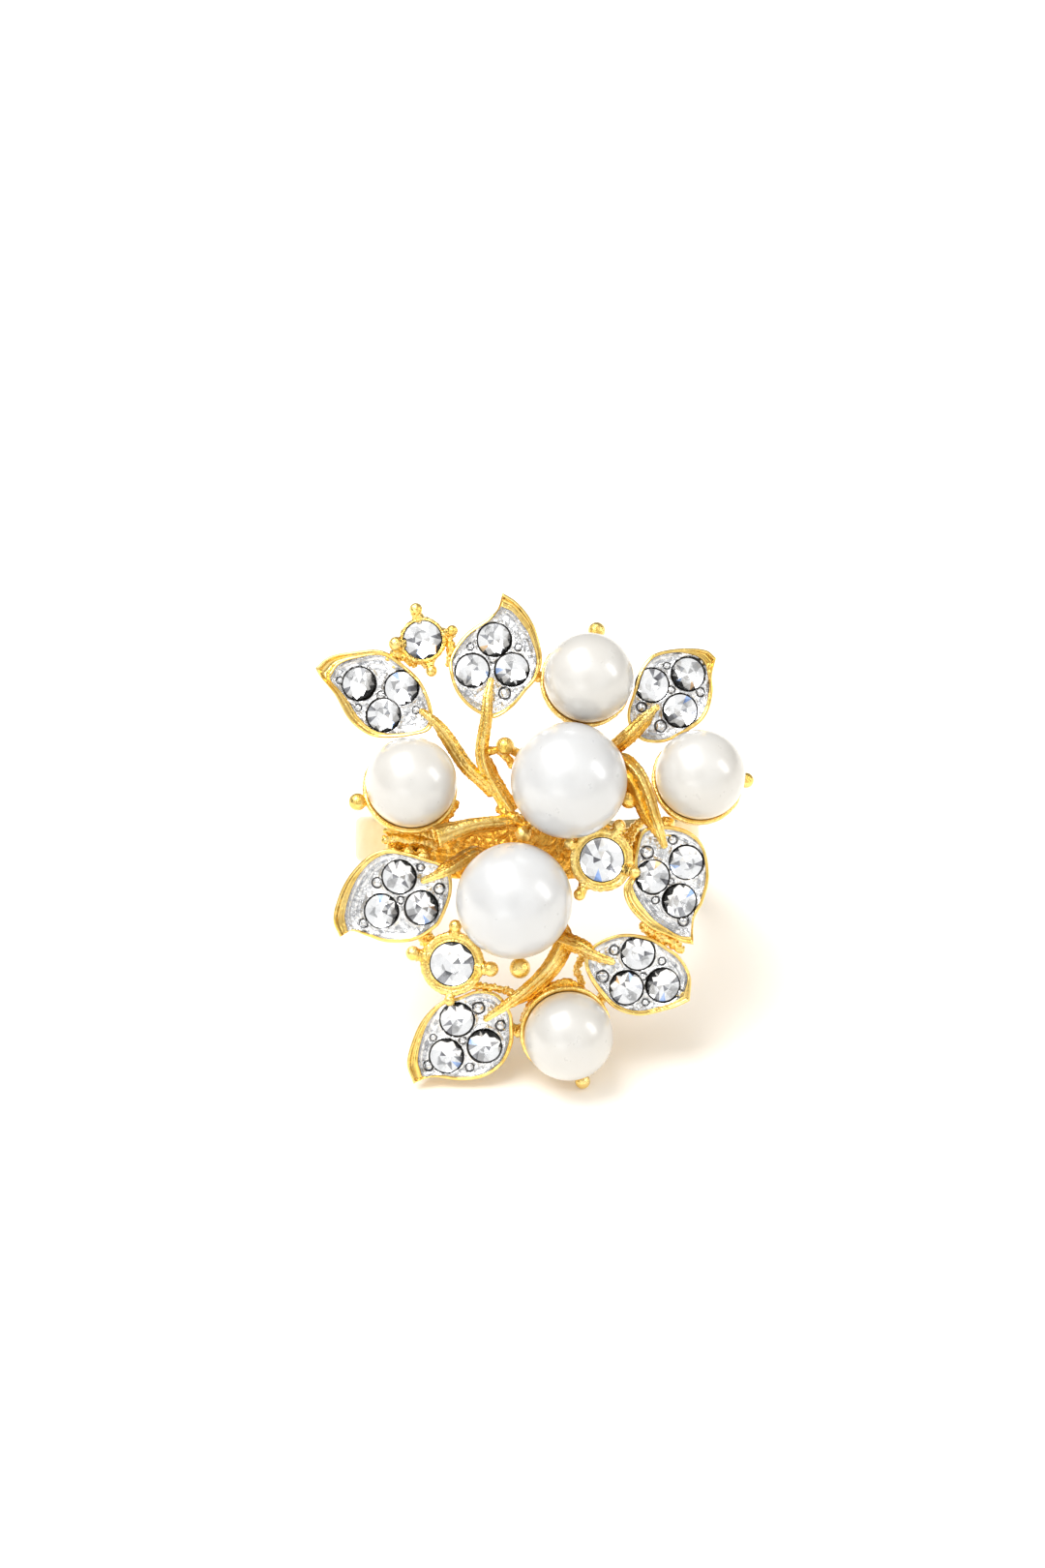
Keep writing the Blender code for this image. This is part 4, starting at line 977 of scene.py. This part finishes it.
def nacre(name, face, shade):
    m, tree, bsdf = shader_material(name, face, 0.0, 0.32)
    at = in_mm(tree)
    body = ramp(tree, noise_node(tree, at, 0.22, 3.0, 0.5, 0.4), [(0.32, shade), (0.62, face)])
    cloud = ramp(tree, noise_node(tree, at, 0.55, 4.0, 0.6, 0.6), [(0.30, (0.975, 0.965, 0.95)), (0.70, (1.0, 1.0, 1.0))])
    mix = tree.nodes.new("ShaderNodeMix")
    mix.data_type, mix.blend_type = "RGBA", "MULTIPLY"
    mix.inputs["Factor"].default_value = 1.0
    tree.links.new(body, mix.inputs["A"])
    tree.links.new(cloud, mix.inputs["B"])
    # painted reflection of the gold cup: amber laid into the colour near the cup's rim
    near = tree.nodes.new("ShaderNodeAttribute")
    near.attribute_name = "painted_cup_reflection"
    cup_reflection_mix = tree.nodes.new("ShaderNodeMix")
    cup_reflection_mix.data_type = "RGBA"
    tree.links.new(near.outputs["Fac"], cup_reflection_mix.inputs["Factor"])
    tree.links.new(mix.outputs["Result"], cup_reflection_mix.inputs["A"])
    cup_reflection_mix.inputs["B"].default_value = (0.86, 0.62, 0.34, 1.0)
    tree.links.new(cup_reflection_mix.outputs["Result"], bsdf.inputs["Base Color"])
    tree.links.new(span(tree, noise_node(tree, at, 1.3, 3.0), 0.27, 0.36), bsdf.inputs["Roughness"])
    bsdf.inputs["IOR"].default_value = 1.72
    bsdf.inputs["Coat Weight"].default_value = 0.9
    bsdf.inputs["Coat Roughness"].default_value = 0.22
    bsdf.inputs["Coat IOR"].default_value = 1.72
    bump(tree, bsdf, noise_node(tree, at, 1.4, 2.0), 0.004)
    return m


pearl_white = nacre("pearl_white", (0.545, 0.551, 0.558), (0.528, 0.536, 0.547))
pearl_cream = nacre("pearl_cream", (0.555, 0.545, 0.522), (0.540, 0.522, 0.488))

# ----------------------------------------------------------------- band, bridge


def band_edges(deg):
    deg = min(deg, 360.0 - deg)
    front = eased(deg, BAND_OPEN_DEG, 60.0)
    back = eased(deg, 104.0, 172.0)
    return tuple(shoulder + (side - shoulder) * front + (rear - side) * back
                 for shoulder, side, rear in zip(BAND_SHOULDER, BAND_SIDES, BAND_BACK))


def band_section(deg):
    """Outline as (radius, v): comfort-rounded inside, softly crowned outside."""
    high, low = band_edges(deg)
    ro, ri = BAND_OUTER_R, BAND_INNER_R
    out = []
    b = 0.46
    for k in range(7):
        a = 0.5 * math.pi * k / 6
        out.append((ro - b + b * math.sin(a), low + b - b * math.cos(a)))
    for k in range(1, 9):
        t = k / 9
        out.append((ro + 0.035 * math.sin(math.pi * t), low + b + (high - low - 2 * b) * t))
    for k in range(7):
        a = 0.5 * math.pi * k / 6
        out.append((ro - b + b * math.cos(a), high - b + b * math.sin(a)))
    c = 0.24
    for k in range(5):
        a = 0.5 * math.pi * k / 4
        out.append((ri + c - c * math.sin(a), high - c + c * math.cos(a)))
    for k in range(1, 7):
        t = k / 7
        out.append((ri - 0.02 * math.sin(math.pi * t), high - c + (low - high + 2 * c) * t))
    for k in range(5):
        a = 0.5 * math.pi * k / 4
        out.append((ri + c - c * math.cos(a), low + c - c * math.sin(a)))
    return out


def swept(section, start_deg, end_deg, steps):
    verts, faces = [], []
    for i in range(steps + 1):
        d = start_deg + (end_deg - start_deg) * i / steps
        a = math.radians(d)
        outline = section(d)
        for r, v in outline:
            verts.append(Vector((r * math.sin(a), v, BAND_CENTRE_W + r * math.cos(a))))
    n = len(verts) // (steps + 1)
    for i in range(steps):
        for k in range(n):
            j = (k + 1) % n
            faces.append((i * n + k, (i + 1) * n + k, (i + 1) * n + j, i * n + j))
    faces.append(tuple(range(n)))
    faces.append(tuple(reversed(range(len(verts) - n, len(verts)))))
    return verts, faces


# the band wears the darker gold: painted shade
make("finger_band_polished", *swept(band_section, BAND_OPEN_DEG, 360.0 - BAND_OPEN_DEG, 200), [gold_band_painted_shade],
     slot="gold_plating", stands_for=["finger_band"], sharp=60)


def bridge_section(deg):
    u = BRIDGE_OUTER_R * math.sin(math.radians(deg))
    fade = eased(BRIDGE_HALF_DEG - abs(deg), 0.0, 9.0)
    high = BAND_SHOULDER[0] + 0.25 * fade + 2.10 * fade * math.exp(-((u - 2.4) / 1.6) ** 2)
    low = BAND_SHOULDER[1] - 0.50 * fade - 1.65 * fade * math.exp(-((u + 0.8) / 1.9) ** 2)
    ri, ro = BAND_INNER_R, BRIDGE_OUTER_R
    out = [(ri, low + 0.2), (ri + 0.06, low + 0.06), (ri + 0.2, low), (ro - 0.25, low), (ro - 0.07, low + 0.07), (ro, low + 0.25)]
    count = 44
    for k in range(1, count):
        out.append((ro, low + 0.25 + (high - low - 0.5) * k / count))
    out += [(ro, high - 0.25), (ro - 0.07, high - 0.07), (ro - 0.25, high), (ri + 0.2, high), (ri + 0.06, high - 0.06), (ri, high - 0.2)]
    for k in range(1, 8):
        out.append((ri, high - 0.2 - (high - low - 0.4) * k / 8))
    return out


verts, faces = swept(bridge_section, -BRIDGE_HALF_DEG, BRIDGE_HALF_DEG, 130)
shaped = []
for p in verts:
    r = math.hypot(p.x, p.z - BAND_CENTRE_W)
    if r > BRIDGE_OUTER_R - 0.3 and abs(math.degrees(math.atan2(p.x, p.z - BAND_CENTRE_W))) < BRIDGE_HALF_DEG - 0.5:
        out = Vector((p.x, 0, p.z - BAND_CENTRE_W)).normalized()
        p = p + out * (0.20 * (lumps(p, 0.40, 1.0) - 0.4) + 0.08 * rough(p, 0.22, 2.0))
    shaped.append(p)
# the bridge plate is cast in the deeper orange gold: painted shade and painted gold interreflection
make("head_bridge_cast", shaped, faces, [gold_rough_painted_shade], slot="gold_plating", stands_for=["head_bridge"], sharp=60)


# ---------------------------------------------------------------- pearls, cups
def cup_axis(lean, way):
    s, c = math.sin(math.radians(lean)), math.cos(math.radians(lean))
    a = math.radians(way)
    return Vector((-s * math.cos(a), -s * math.sin(a), c))


for name, (pearl, rim_deg, wall, lean, way, beads) in CUPS.items():
    pu, pv, pw, pr = PEARLS[pearl]
    middle = Vector((pu, pv, pw))
    axis = cup_axis(lean, way)
    ra, rb = pr + PEARL_GAP, pr + PEARL_GAP + wall
    steps = 18
    profile = [(0.0, -rb)]
    for k in range(1, steps + 1):
        t = math.radians(rim_deg * k / steps)
        r = rb - 0.16 * max(0.0, (k / steps - 0.80) / 0.20) ** 2
        profile.append((r * math.sin(t), -r * math.cos(t)))
    edge_r = rb - 0.16
    t = math.radians(rim_deg)
    for k in range(1, 5):
        a = math.pi * k / 5
        mid_r, half = 0.5 * (edge_r + ra), 0.5 * (edge_r - ra)
        r = mid_r + half * math.cos(a)
        tt = t + half * math.sin(a) / mid_r
        profile.append((r * math.sin(tt), -r * math.cos(tt)))
    for k in range(steps, 0, -1):
        t = math.radians(rim_deg * k / steps)
        if ra * math.sin(t) > PEG_R + 0.02:
            profile.append((ra * math.sin(t), -ra * math.cos(t)))
    profile += [(PEG_R, -ra), (PEG_R, -ra + PEG_LENGTH - 0.1), (PEG_R - 0.1, -ra + PEG_LENGTH), (0.0, -ra + PEG_LENGTH)]
    verts, faces, index = placed(lathe(profile, 88), middle, axis)
    shaped = []
    for p in verts:
        off = p - middle
        if off.length > ra + 0.08:
            p = p + off.normalized() * (0.030 * rough(p, 0.35, 4.0) + 0.035 * (lumps(p, 0.30, 2.0) - 0.35))
        shaped.append(p)
    whole = Shape().add((shaped, faces))
    for bu, bv, bw, br in beads:
        bead = Vector((bu, bv, bw))
        towards = (middle - bead).normalized()
        foot = middle - towards * (ra + 0.5 * wall)
        off = (foot - middle).normalized()
        polar = math.degrees(math.acos(max(-1.0, min(1.0, off.dot(-axis)))))
        if polar > rim_deg - 12:
            flat = (off + axis * off.dot(-axis)).normalized()
            t = math.radians(rim_deg - 12)
            foot = middle + (flat * math.sin(t) - axis * math.cos(t)) * (ra + 0.5 * wall)
        whole.add(bead_on_stalk(foot, bead, 0.28, br * 1.14), 1)
    for line in CORDS.get(name, []):
        whole.add(bar(line, 70, 20, plain_round, lumpy=0.16, lump_size=0.26, grain=0.03, seed=len(name)), 2)
    if name == "cup_upper_large":
        # collar that ties the upper bead to the twig and to the pearl's cup
        whole.add(bar([(-2.35, 5.25, 0.55, 0.26), (-1.80, 5.30, 0.45, 0.24), (-1.30, 4.95, 0.30, 0.26), (-0.90, 4.45, 0.00, 0.30)],
                      36, 18, plain_round, lumpy=0.10, lump_size=0.25, seed=2.0), 2)
    make(name + "_cast", whole.verts, whole.faces, [gold_cast, gold_polished, gold_rough_painted_shade], whole.index,
         slot="gold_plating", stands_for=[name])

    hole = math.asin(DRILL_R / pr)
    profile = [(0.0, -pr + DRILL_LENGTH), (DRILL_R, -pr + DRILL_LENGTH), (DRILL_R, -math.sqrt(pr * pr - DRILL_R ** 2) + 0.03)]
    rings = 72
    for k in range(1, rings):
        t = math.pi * k / rings
        if t > hole * 1.08:
            profile.append((pr * math.sin(t), -pr * math.cos(t)))
    profile.append((0.0, pr))
    verts, faces, _ = placed(lathe(profile, 112), middle, axis)
    ob = make(pearl + "_bead", verts, faces, [pearl_white if "large" in pearl else pearl_cream],
              slot="imitation_pearl", stands_for=[pearl], sharp=50)
    # the cup's painted reflection on the pearl, strongest at the cup's rim
    painted_reflection = ob.data.attributes.new("painted_cup_reflection", "FLOAT", "POINT")
    for k, v in enumerate(verts):
        off = v - middle
        polar = math.degrees(math.acos(max(-1.0, min(1.0, -off.dot(axis) / max(off.length, 1e-6)))))
        painted_reflection.data[k].value = 0.80 * (1.0 - eased(polar, rim_deg - 2, rim_deg + 44)) ** 1.5

# ---------------------------------------------------------------------- leaves


def stone_fire(n):
    """Which back facets get a painted colour glint or painted shade, different for each stone."""
    fire = {("l", (n * 5 + 2) % 16): "d", ("l", (n * 9 + 8) % 16): "d", ("m", (n * 3 + 5) % 8): "d"}
    if n % 3 != 1:
        fire[("l", (n * 7 + 3) % 16)] = "b"
    if n % 4 == 0:
        fire[("l", (n * 11 + 6) % 16)] = "a"
    return fire


def tilted(normal, n, most_deg):
    """The axis turned a little, a different way for each stone."""
    a = 2.399963 * n
    k = math.tan(math.radians(most_deg * (0.35 + 0.65 * ((n * 37) % 10) / 9.0)))
    side = Vector((math.cos(a), math.sin(a), 0))
    return (normal + side * k).normalized()


count = 0
for number, (name, leaf) in enumerate(LEAVES.items()):
    body = Shape().add(casting(leaf), 0)
    for k, (a, b, r) in enumerate(LEAF_LINKS.get(name, [])):
        a, b = Vector(a), Vector(b)
        mid = (a + b) * 0.5
        line = [(*a, r), (*mid, r * 0.88), (*b, r)]
        body.add(bar(line, 26, 22, plain_round, tip=0.4, tail=0.4, lumpy=0.13, lump_size=0.24, grain=0.02, seed=1.3 * k + number), 1)
    for line in CORDS.get(name, []):
        body.add(bar(line, 60, 20, plain_round, lumpy=0.17, lump_size=0.27, grain=0.03, seed=number + 0.7), 1)
    make(name + "_casting", body.verts, body.faces, [gold_polished, gold_cast, gold_rough_painted_shade], body.index,
         slot="gold_plating", stands_for=[name])
    verts, faces, index = field(leaf, 1.37 * number + 0.4)
    make(name + "_field", verts, faces, [rhodium, recess_painted_shade], index, slot="rhodium_plating", sharp=50)
    normal = leaf_normal(leaf)
    for k, (su, sv) in enumerate(leaf["stones"]):
        count += 1
        a = 2.1 * count
        seat = Vector((su + 0.022 * math.cos(a), sv + 0.022 * math.sin(a), leaf_height(leaf, su, sv) - LEAF_SINK + 0.045))
        make(f"{name}_stone_{k + 1}", *placed(brilliant(STONE_R, stone_fire(count)), seat, tilted(normal, count, 5.5), 0.7 * count)[:2],
             [crystal, foil_silver, foil_painted_blue_glint, foil_painted_amber_glint, foil_painted_shade],
             placed(brilliant(STONE_R, stone_fire(count)), seat, normal)[2],
             slot="clear_crystal", stands_for=[f"{name}_crystal_{k + 1}"], sharp=0)

# --------------------------------------------------------------------- collets
for number, (name, (cu, cv, cw, stone_r, rim_r, depth, prongs)) in enumerate(COLLETS.items()):
    a, b = away(cu, cv)
    slope = 0.012 * math.hypot(cu, cv)
    normal = Vector((slope * a, slope * b, 1.0)).normalized()
    middle = Vector((cu, cv, cw))
    seat_r = stone_r + 0.045
    # rows marked 1 line the stone seat with the near-black colour: painted shade
    profile = [(0.0, -depth), (0.50 * rim_r, -depth), (0.60 * rim_r, -depth + 0.05), (0.74 * rim_r, -0.80 * depth),
               (0.86 * rim_r, -0.62 * depth), (0.93 * rim_r, -0.45 * depth), (0.975 * rim_r, -0.30 * depth),
               (rim_r, -0.26), (rim_r + 0.01, -0.14), (rim_r - 0.03, -0.03), (rim_r - 0.09, 0.025),
               (0.5 * (rim_r + seat_r) + 0.02, 0.03), (0.5 * (rim_r + seat_r) - 0.03, 0.0), (seat_r + 0.10, -0.02),
               (seat_r + 0.07, 0.015), (seat_r + 0.035, 0.02), (seat_r + 0.01, -0.015), (seat_r, -0.05),
               (seat_r, -0.30, 1), (seat_r - 0.10, -0.36, 1), (0.40 * seat_r, -depth + 0.40, 1), (0.0, -depth + 0.38, 1)]
    verts, faces, index = lathe(profile, 96)
    shaped = []
    for p in verts:
        r = math.hypot(p.x, p.y)
        if r > 0.5 * (rim_r + seat_r) - 0.05 and p.z > -depth + 0.1:
            out = Vector((p.x, p.y, 0)).normalized() * 0.8 + Vector((0, 0, 0.6 if p.z > -0.2 else 0.0))
            p = p + out * (0.13 * (lumps(p, 0.30, 5.0 + number) - 0.34) + 0.02 * rough(p, 0.12, number))
        shaped.append(p)
    shaped, faces, index = placed((shaped, faces, index), middle, normal)
    body = Shape().add((shaped, faces, index))
    for pu, pv, pr, lift in prongs:
        bead = Vector((pu, pv, cw - slope * ((pu - cu) * a + (pv - cv) * b) - 0.05 + lift))
        inward = middle - bead
        inward = (inward - normal * inward.dot(normal)).normalized()
        foot = middle - inward * (seat_r + 0.5 * (rim_r - seat_r)) - normal * (0.42 - 0.45 * lift)
        inner = bead + (middle - bead).normalized() * pr * 0.55
        body.add(bar([(*foot, 1.30 * pr), (*((foot + inner) * 0.5), 1.16 * pr), (*inner, 0.98 * pr)], 24, 22, plain_round,
                     tip=0.5, tail=0.6, lumpy=0.16, lump_size=0.24, grain=0.03, seed=pr * 9 + number), 0)
        body.add(bead_on_stalk(foot, bead, 0.84 * pr, pr * 1.24), 2)
    make(name + "_cast", body.verts, body.faces, [gold_cast, recess_painted_shade, gold_polished], body.index,
         slot="gold_plating", stands_for=[name])
    count += 1
    shape = brilliant(stone_r, stone_fire(count + 2))
    verts, faces, index = placed(shape, middle - normal * 0.07, tilted(normal, count, 2.5), 0.4 * number)
    make(name + "_stone", verts, faces, [crystal, foil_silver, foil_painted_blue_glint, foil_painted_amber_glint, foil_painted_shade], index,
         slot="clear_crystal", stands_for=[name + "_crystal"], sharp=0)


# ----------------------------------------------------------------- twigs, stem
def bark(a, share):
    """Three rounded ridges along the twig."""
    return 1.0 + 0.17 * math.cos(4 * a + 1.1 * share) + 0.09 * math.cos(9 * a + 2.0)


for number, (name, (leaf_name, r_tip, r_root, line, strand)) in enumerate(TWIGS.items()):
    leaf = LEAVES[leaf_name]
    pts = []
    for k, (u, v, w) in enumerate(line):
        share = k / (len(line) - 1)
        radius = r_tip + (r_root - r_tip) * min(1.0, 2.0 * share)
        if w is None:
            w = leaf_height(leaf, u, v) + TWIG_LIFT + 0.10 * k
        pts.append((u, v, w, radius * (0.80 if k == 0 else 1.0)))
    body = Shape().add(bar(pts, 96, 30, bark, tip=1.3, grain=0.032, grain_size=0.12, lumpy=0.040, lump_size=0.16, seed=number + 0.3), 0)
    start, across, down, thick = strand
    dense = spline(pts, 25)
    other = []
    for i, p in enumerate(dense):
        if i / 24 < start:
            continue
        q0, q1 = dense[max(0, i - 1)], dense[min(24, i + 1)]
        t = Vector((q1[0] - q0[0], q1[1] - q0[1], 0)).normalized()
        sidewise = Vector((-t.y, t.x, 0))
        ease = min(1.0, (i / 24 - start) / 0.22 + 0.12)
        other.append((p[0] + sidewise.x * across * ease, p[1] + sidewise.y * across * ease, p[2] + down * ease,
                      p[3] * thick * (0.55 + 0.45 * ease)))
    body.add(bar(other, 80, 24, bark, tip=1.0, grain=0.034, grain_size=0.12, lumpy=0.05, lump_size=0.18, seed=number + 4.3), 1)
    make(name + "_cast", body.verts, body.faces, [gold_cast, gold_rough_painted_shade], body.index, slot="gold_plating", stands_for=[name])

# the stem is a hollow tube at its cut end
outer = spline(STEM, 90)


def stem_section(a, share):
    return 1.0 + 0.10 * math.cos(4 * a + 0.8 + share) + 0.05 * math.cos(9 * a)


def hollow_stem():
    """One closed skin: along the outside to the root, and back down the bore."""
    verts, faces, index = [], [], []
    sides = 40
    centre = [Vector(p[:3]) for p in outer]
    side = Vector((0.02, 0.03, 1.0))
    frames = []
    for i, c in enumerate(centre):
        ahead = (centre[min(i + 1, 89)] - centre[max(i - 1, 0)]).normalized()
        side = (side - ahead * side.dot(ahead)).normalized()
        frames.append((ahead, side.copy(), ahead.cross(side)))

    def ring(i, scale, shift, rough_by):
        ahead, s, t = frames[i]
        row = []
        for k in range(sides):
            a = 2 * math.pi * k / sides
            out = s * math.cos(a) + t * math.sin(a)
            p = centre[i] + ahead * shift + out * outer[i][3] * scale * stem_section(a, i / 89)
            p = p + out * (rough_by * rough(p, 0.16, 6.0) + rough_by * (lumps(p, 0.2, 6.0) - 0.35))
            row.append(len(verts))
            verts.append(p)
        return row

    rows = []
    bore = [(18, 0.20), (17, 0.40), (14, 0.56), (10, 0.66), (6, 0.72), (2, 0.76), (0, 0.78)]
    for i, s in bore:
        rows.append((ring(i, s, 0.0, 0.012), 1))
    rows.append((ring(0, 0.85, -0.06, 0.0), 0))
    rows.append((ring(0, 0.94, -0.05, 0.01), 0))
    for i in range(0, 90):
        rows.append((ring(i, 1.0, 0.0, 0.028), 0))
    for q, ((lower, _), (upper, mat)) in enumerate(zip(rows, rows[1:])):
        for k in range(sides):
            j = (k + 1) % sides
            faces.append((lower[k], lower[j], upper[j], upper[k]))
            index.append(mat)
    pole = len(verts)
    verts.append(centre[19])
    first = rows[0][0]
    for k in range(sides):
        faces.append((first[(k + 1) % sides], first[k], pole))
        index.append(1)
    pole = len(verts)
    verts.append(centre[-1] + frames[-1][0] * 0.1)
    last = rows[-1][0]
    for k in range(sides):
        faces.append((last[k], last[(k + 1) % sides], pole))
        index.append(0)
    return verts, faces, index


body = Shape().add(hollow_stem())
low = [(p[0], p[1] - 0.34, p[2] - 0.30, p[3] * 0.62) for p in spline(STEM, 12)][2:10]
body.add(bar(low, 60, 22, bark, grain=0.02, lumpy=0.03, seed=8.0), 1)
# the junction where the twigs meet the stem
body.add(bar([(-1.60, 1.75, 0.00, 0.34), (-0.95, 1.30, -0.05, 0.40), (-0.30, 0.85, -0.10, 0.36), (0.35, 0.60, -0.35, 0.34)],
             40, 24, plain_round, lumpy=0.16, lump_size=0.36, grain=0.03, seed=9.0), 1)
make("main_stem_cast", body.verts, body.faces, [gold_cast, gold_rough_painted_shade], body.index, slot="gold_plating", stands_for=["main_stem"])

# ----------------------------------------------------------- floor, light, view
scene = bpy.context.scene
scene.view_settings.view_transform = "Standard"
scene.view_settings.look = "None"

mesh = bpy.data.meshes.new("floor")
mesh.from_pydata([(-3, -3, 0), (3, -3, 0), (3, 3, 0), (-3, 3, 0)], [], [(0, 1, 2, 3)])
floor = bpy.data.objects.new("floor", mesh)
scene.collection.objects.link(floor)
paper, tree, bsdf = shader_material("white_sweep", (0.95, 0.92, 0.87), 0.0, 0.8)
bsdf.inputs["Specular IOR Level"].default_value = 0.15
bsdf.inputs["Emission Color"].default_value = (1.0, 0.955, 0.885, 1.0)
bsdf.inputs["Emission Strength"].default_value = 0.11
at = in_mm(tree)
tree.links.new(ramp(tree, noise_node(tree, at, 0.02, 2.0), [(0.3, (0.945, 0.918, 0.868)), (0.7, (0.955, 0.928, 0.880))]), bsdf.inputs["Base Color"])
mesh.materials.append(paper)

world = bpy.data.worlds.new("studio")
scene.world = world
world.use_nodes = True
tree = world.node_tree
background = tree.nodes["Background"]
way = tree.nodes.new("ShaderNodeTexCoord")


def lobe(direction, inner_deg, outer_deg):
    """1 round a direction, falling to 0."""
    d = Vector(direction).normalized()
    dot = tree.nodes.new("ShaderNodeVectorMath")
    dot.operation = "DOT_PRODUCT"
    dot.inputs[1].default_value = d
    tree.links.new(way.outputs["Generated"], dot.inputs[0])
    n = tree.nodes.new("ShaderNodeMapRange")
    n.interpolation_type = "SMOOTHSTEP"
    n.inputs["From Min"].default_value = math.cos(math.radians(outer_deg))
    n.inputs["From Max"].default_value = math.cos(math.radians(inner_deg))
    tree.links.new(dot.outputs["Value"], n.inputs["Value"])
    return n.outputs["Result"]


def blend_to(colour_in, factor, colour):
    mix = tree.nodes.new("ShaderNodeMix")
    mix.data_type = "RGBA"
    tree.links.new(factor, mix.inputs["Factor"])
    if isinstance(colour_in, tuple):
        mix.inputs["A"].default_value = (*colour_in, 1.0)
    else:
        tree.links.new(colour_in, mix.inputs["A"])
    mix.inputs["B"].default_value = (*colour, 1.0)
    return mix.outputs["Result"]


sky = blend_to((0.62, 0.60, 0.565), lobe((0, -0.83, 0.56), 40, 62), (1.05, 1.05, 1.04))
sky = blend_to(sky, lobe((0, -0.83, 0.56), 5, 20), (0.42, 0.42, 0.42))
sky = blend_to(sky, lobe((-0.05, 0.95, 0.28), 16, 48), (0.38, 0.38, 0.37))
sky = blend_to(sky, lobe((-0.96, -0.25, 0.12), 8, 26), (0.30, 0.28, 0.26))
sky = blend_to(sky, lobe((0.80, 0.58, 0.16), 6, 22), (0.22, 0.20, 0.18))
tree.links.new(sky, background.inputs["Color"])
background.inputs["Strength"].default_value = 1.0
# the studio wall itself is plain and pale wherever the camera looks
wall = tree.nodes.new("ShaderNodeBackground")
wall.inputs["Color"].default_value = (0.97, 0.965, 0.955, 1.0)
path = tree.nodes.new("ShaderNodeLightPath")
either = tree.nodes.new("ShaderNodeMixShader")
tree.links.new(path.outputs["Is Camera Ray"], either.inputs["Fac"])
tree.links.new(background.outputs["Background"], either.inputs[1])
tree.links.new(wall.outputs["Background"], either.inputs[2])
tree.links.new(either.outputs["Shader"], tree.nodes["World Output"].inputs["Surface"])


def softbox(name, centre, size, power, towards=(0, 0, 0.012), colour=(1, 1, 1)):
    data = bpy.data.lights.new(name, "AREA")
    data.shape = "RECTANGLE"
    data.size, data.size_y = size
    data.energy = power
    data.color = colour
    ob = bpy.data.objects.new(name, data)
    ob.location = centre
    ob.rotation_euler = (Vector(centre) - Vector(towards)).to_track_quat("Z", "Y").to_euler()
    ob.visible_camera = False
    scene.collection.objects.link(ob)
    return ob


def radiance(value, size):
    """Lamp power that gives a one-sided panel that brightness."""
    return value * math.pi * size[0] * size[1]


size = (0.38, 0.27)
softbox("softbox_overhead", (-0.15, -0.03, 0.40), size, radiance(6.2, size))
size = (0.12, 0.26)
softbox("softbox_right", (0.42, -0.09, 0.25), size, radiance(5.0, size))
size = (0.24, 0.09)
softbox("card_low_front", (-0.17, -0.46, 0.075), size, radiance(1.4, size))

cam_data = bpy.data.cameras.new("camera")
cam = bpy.data.objects.new("camera", cam_data)
scene.collection.objects.link(cam)
scene.camera = cam
SCALE = 17100.0                     # pixels per metre at the head
elevation = math.radians(33.95)
back = Vector((0.0, -math.cos(elevation), math.sin(elevation)))
rot = back.to_track_quat("Z", "Y")
aim = HEAD @ Vector((0, 0, 0.5)) - (rot @ Vector((1, 0, 0))) * (5 / SCALE) + (rot @ Vector((0, 1, 0))) * (56 / SCALE)
DISTANCE = 0.45
cam.rotation_euler = rot.to_euler()
cam.location = aim + back * DISTANCE
cam_data.sensor_fit = "AUTO"
cam_data.sensor_width = 36.0
cam_data.lens = 36.0 * DISTANCE / (1620 / SCALE)
cam_data.clip_start = 0.01
cam_data.clip_end = 20.0

low, high = CAD_BOX
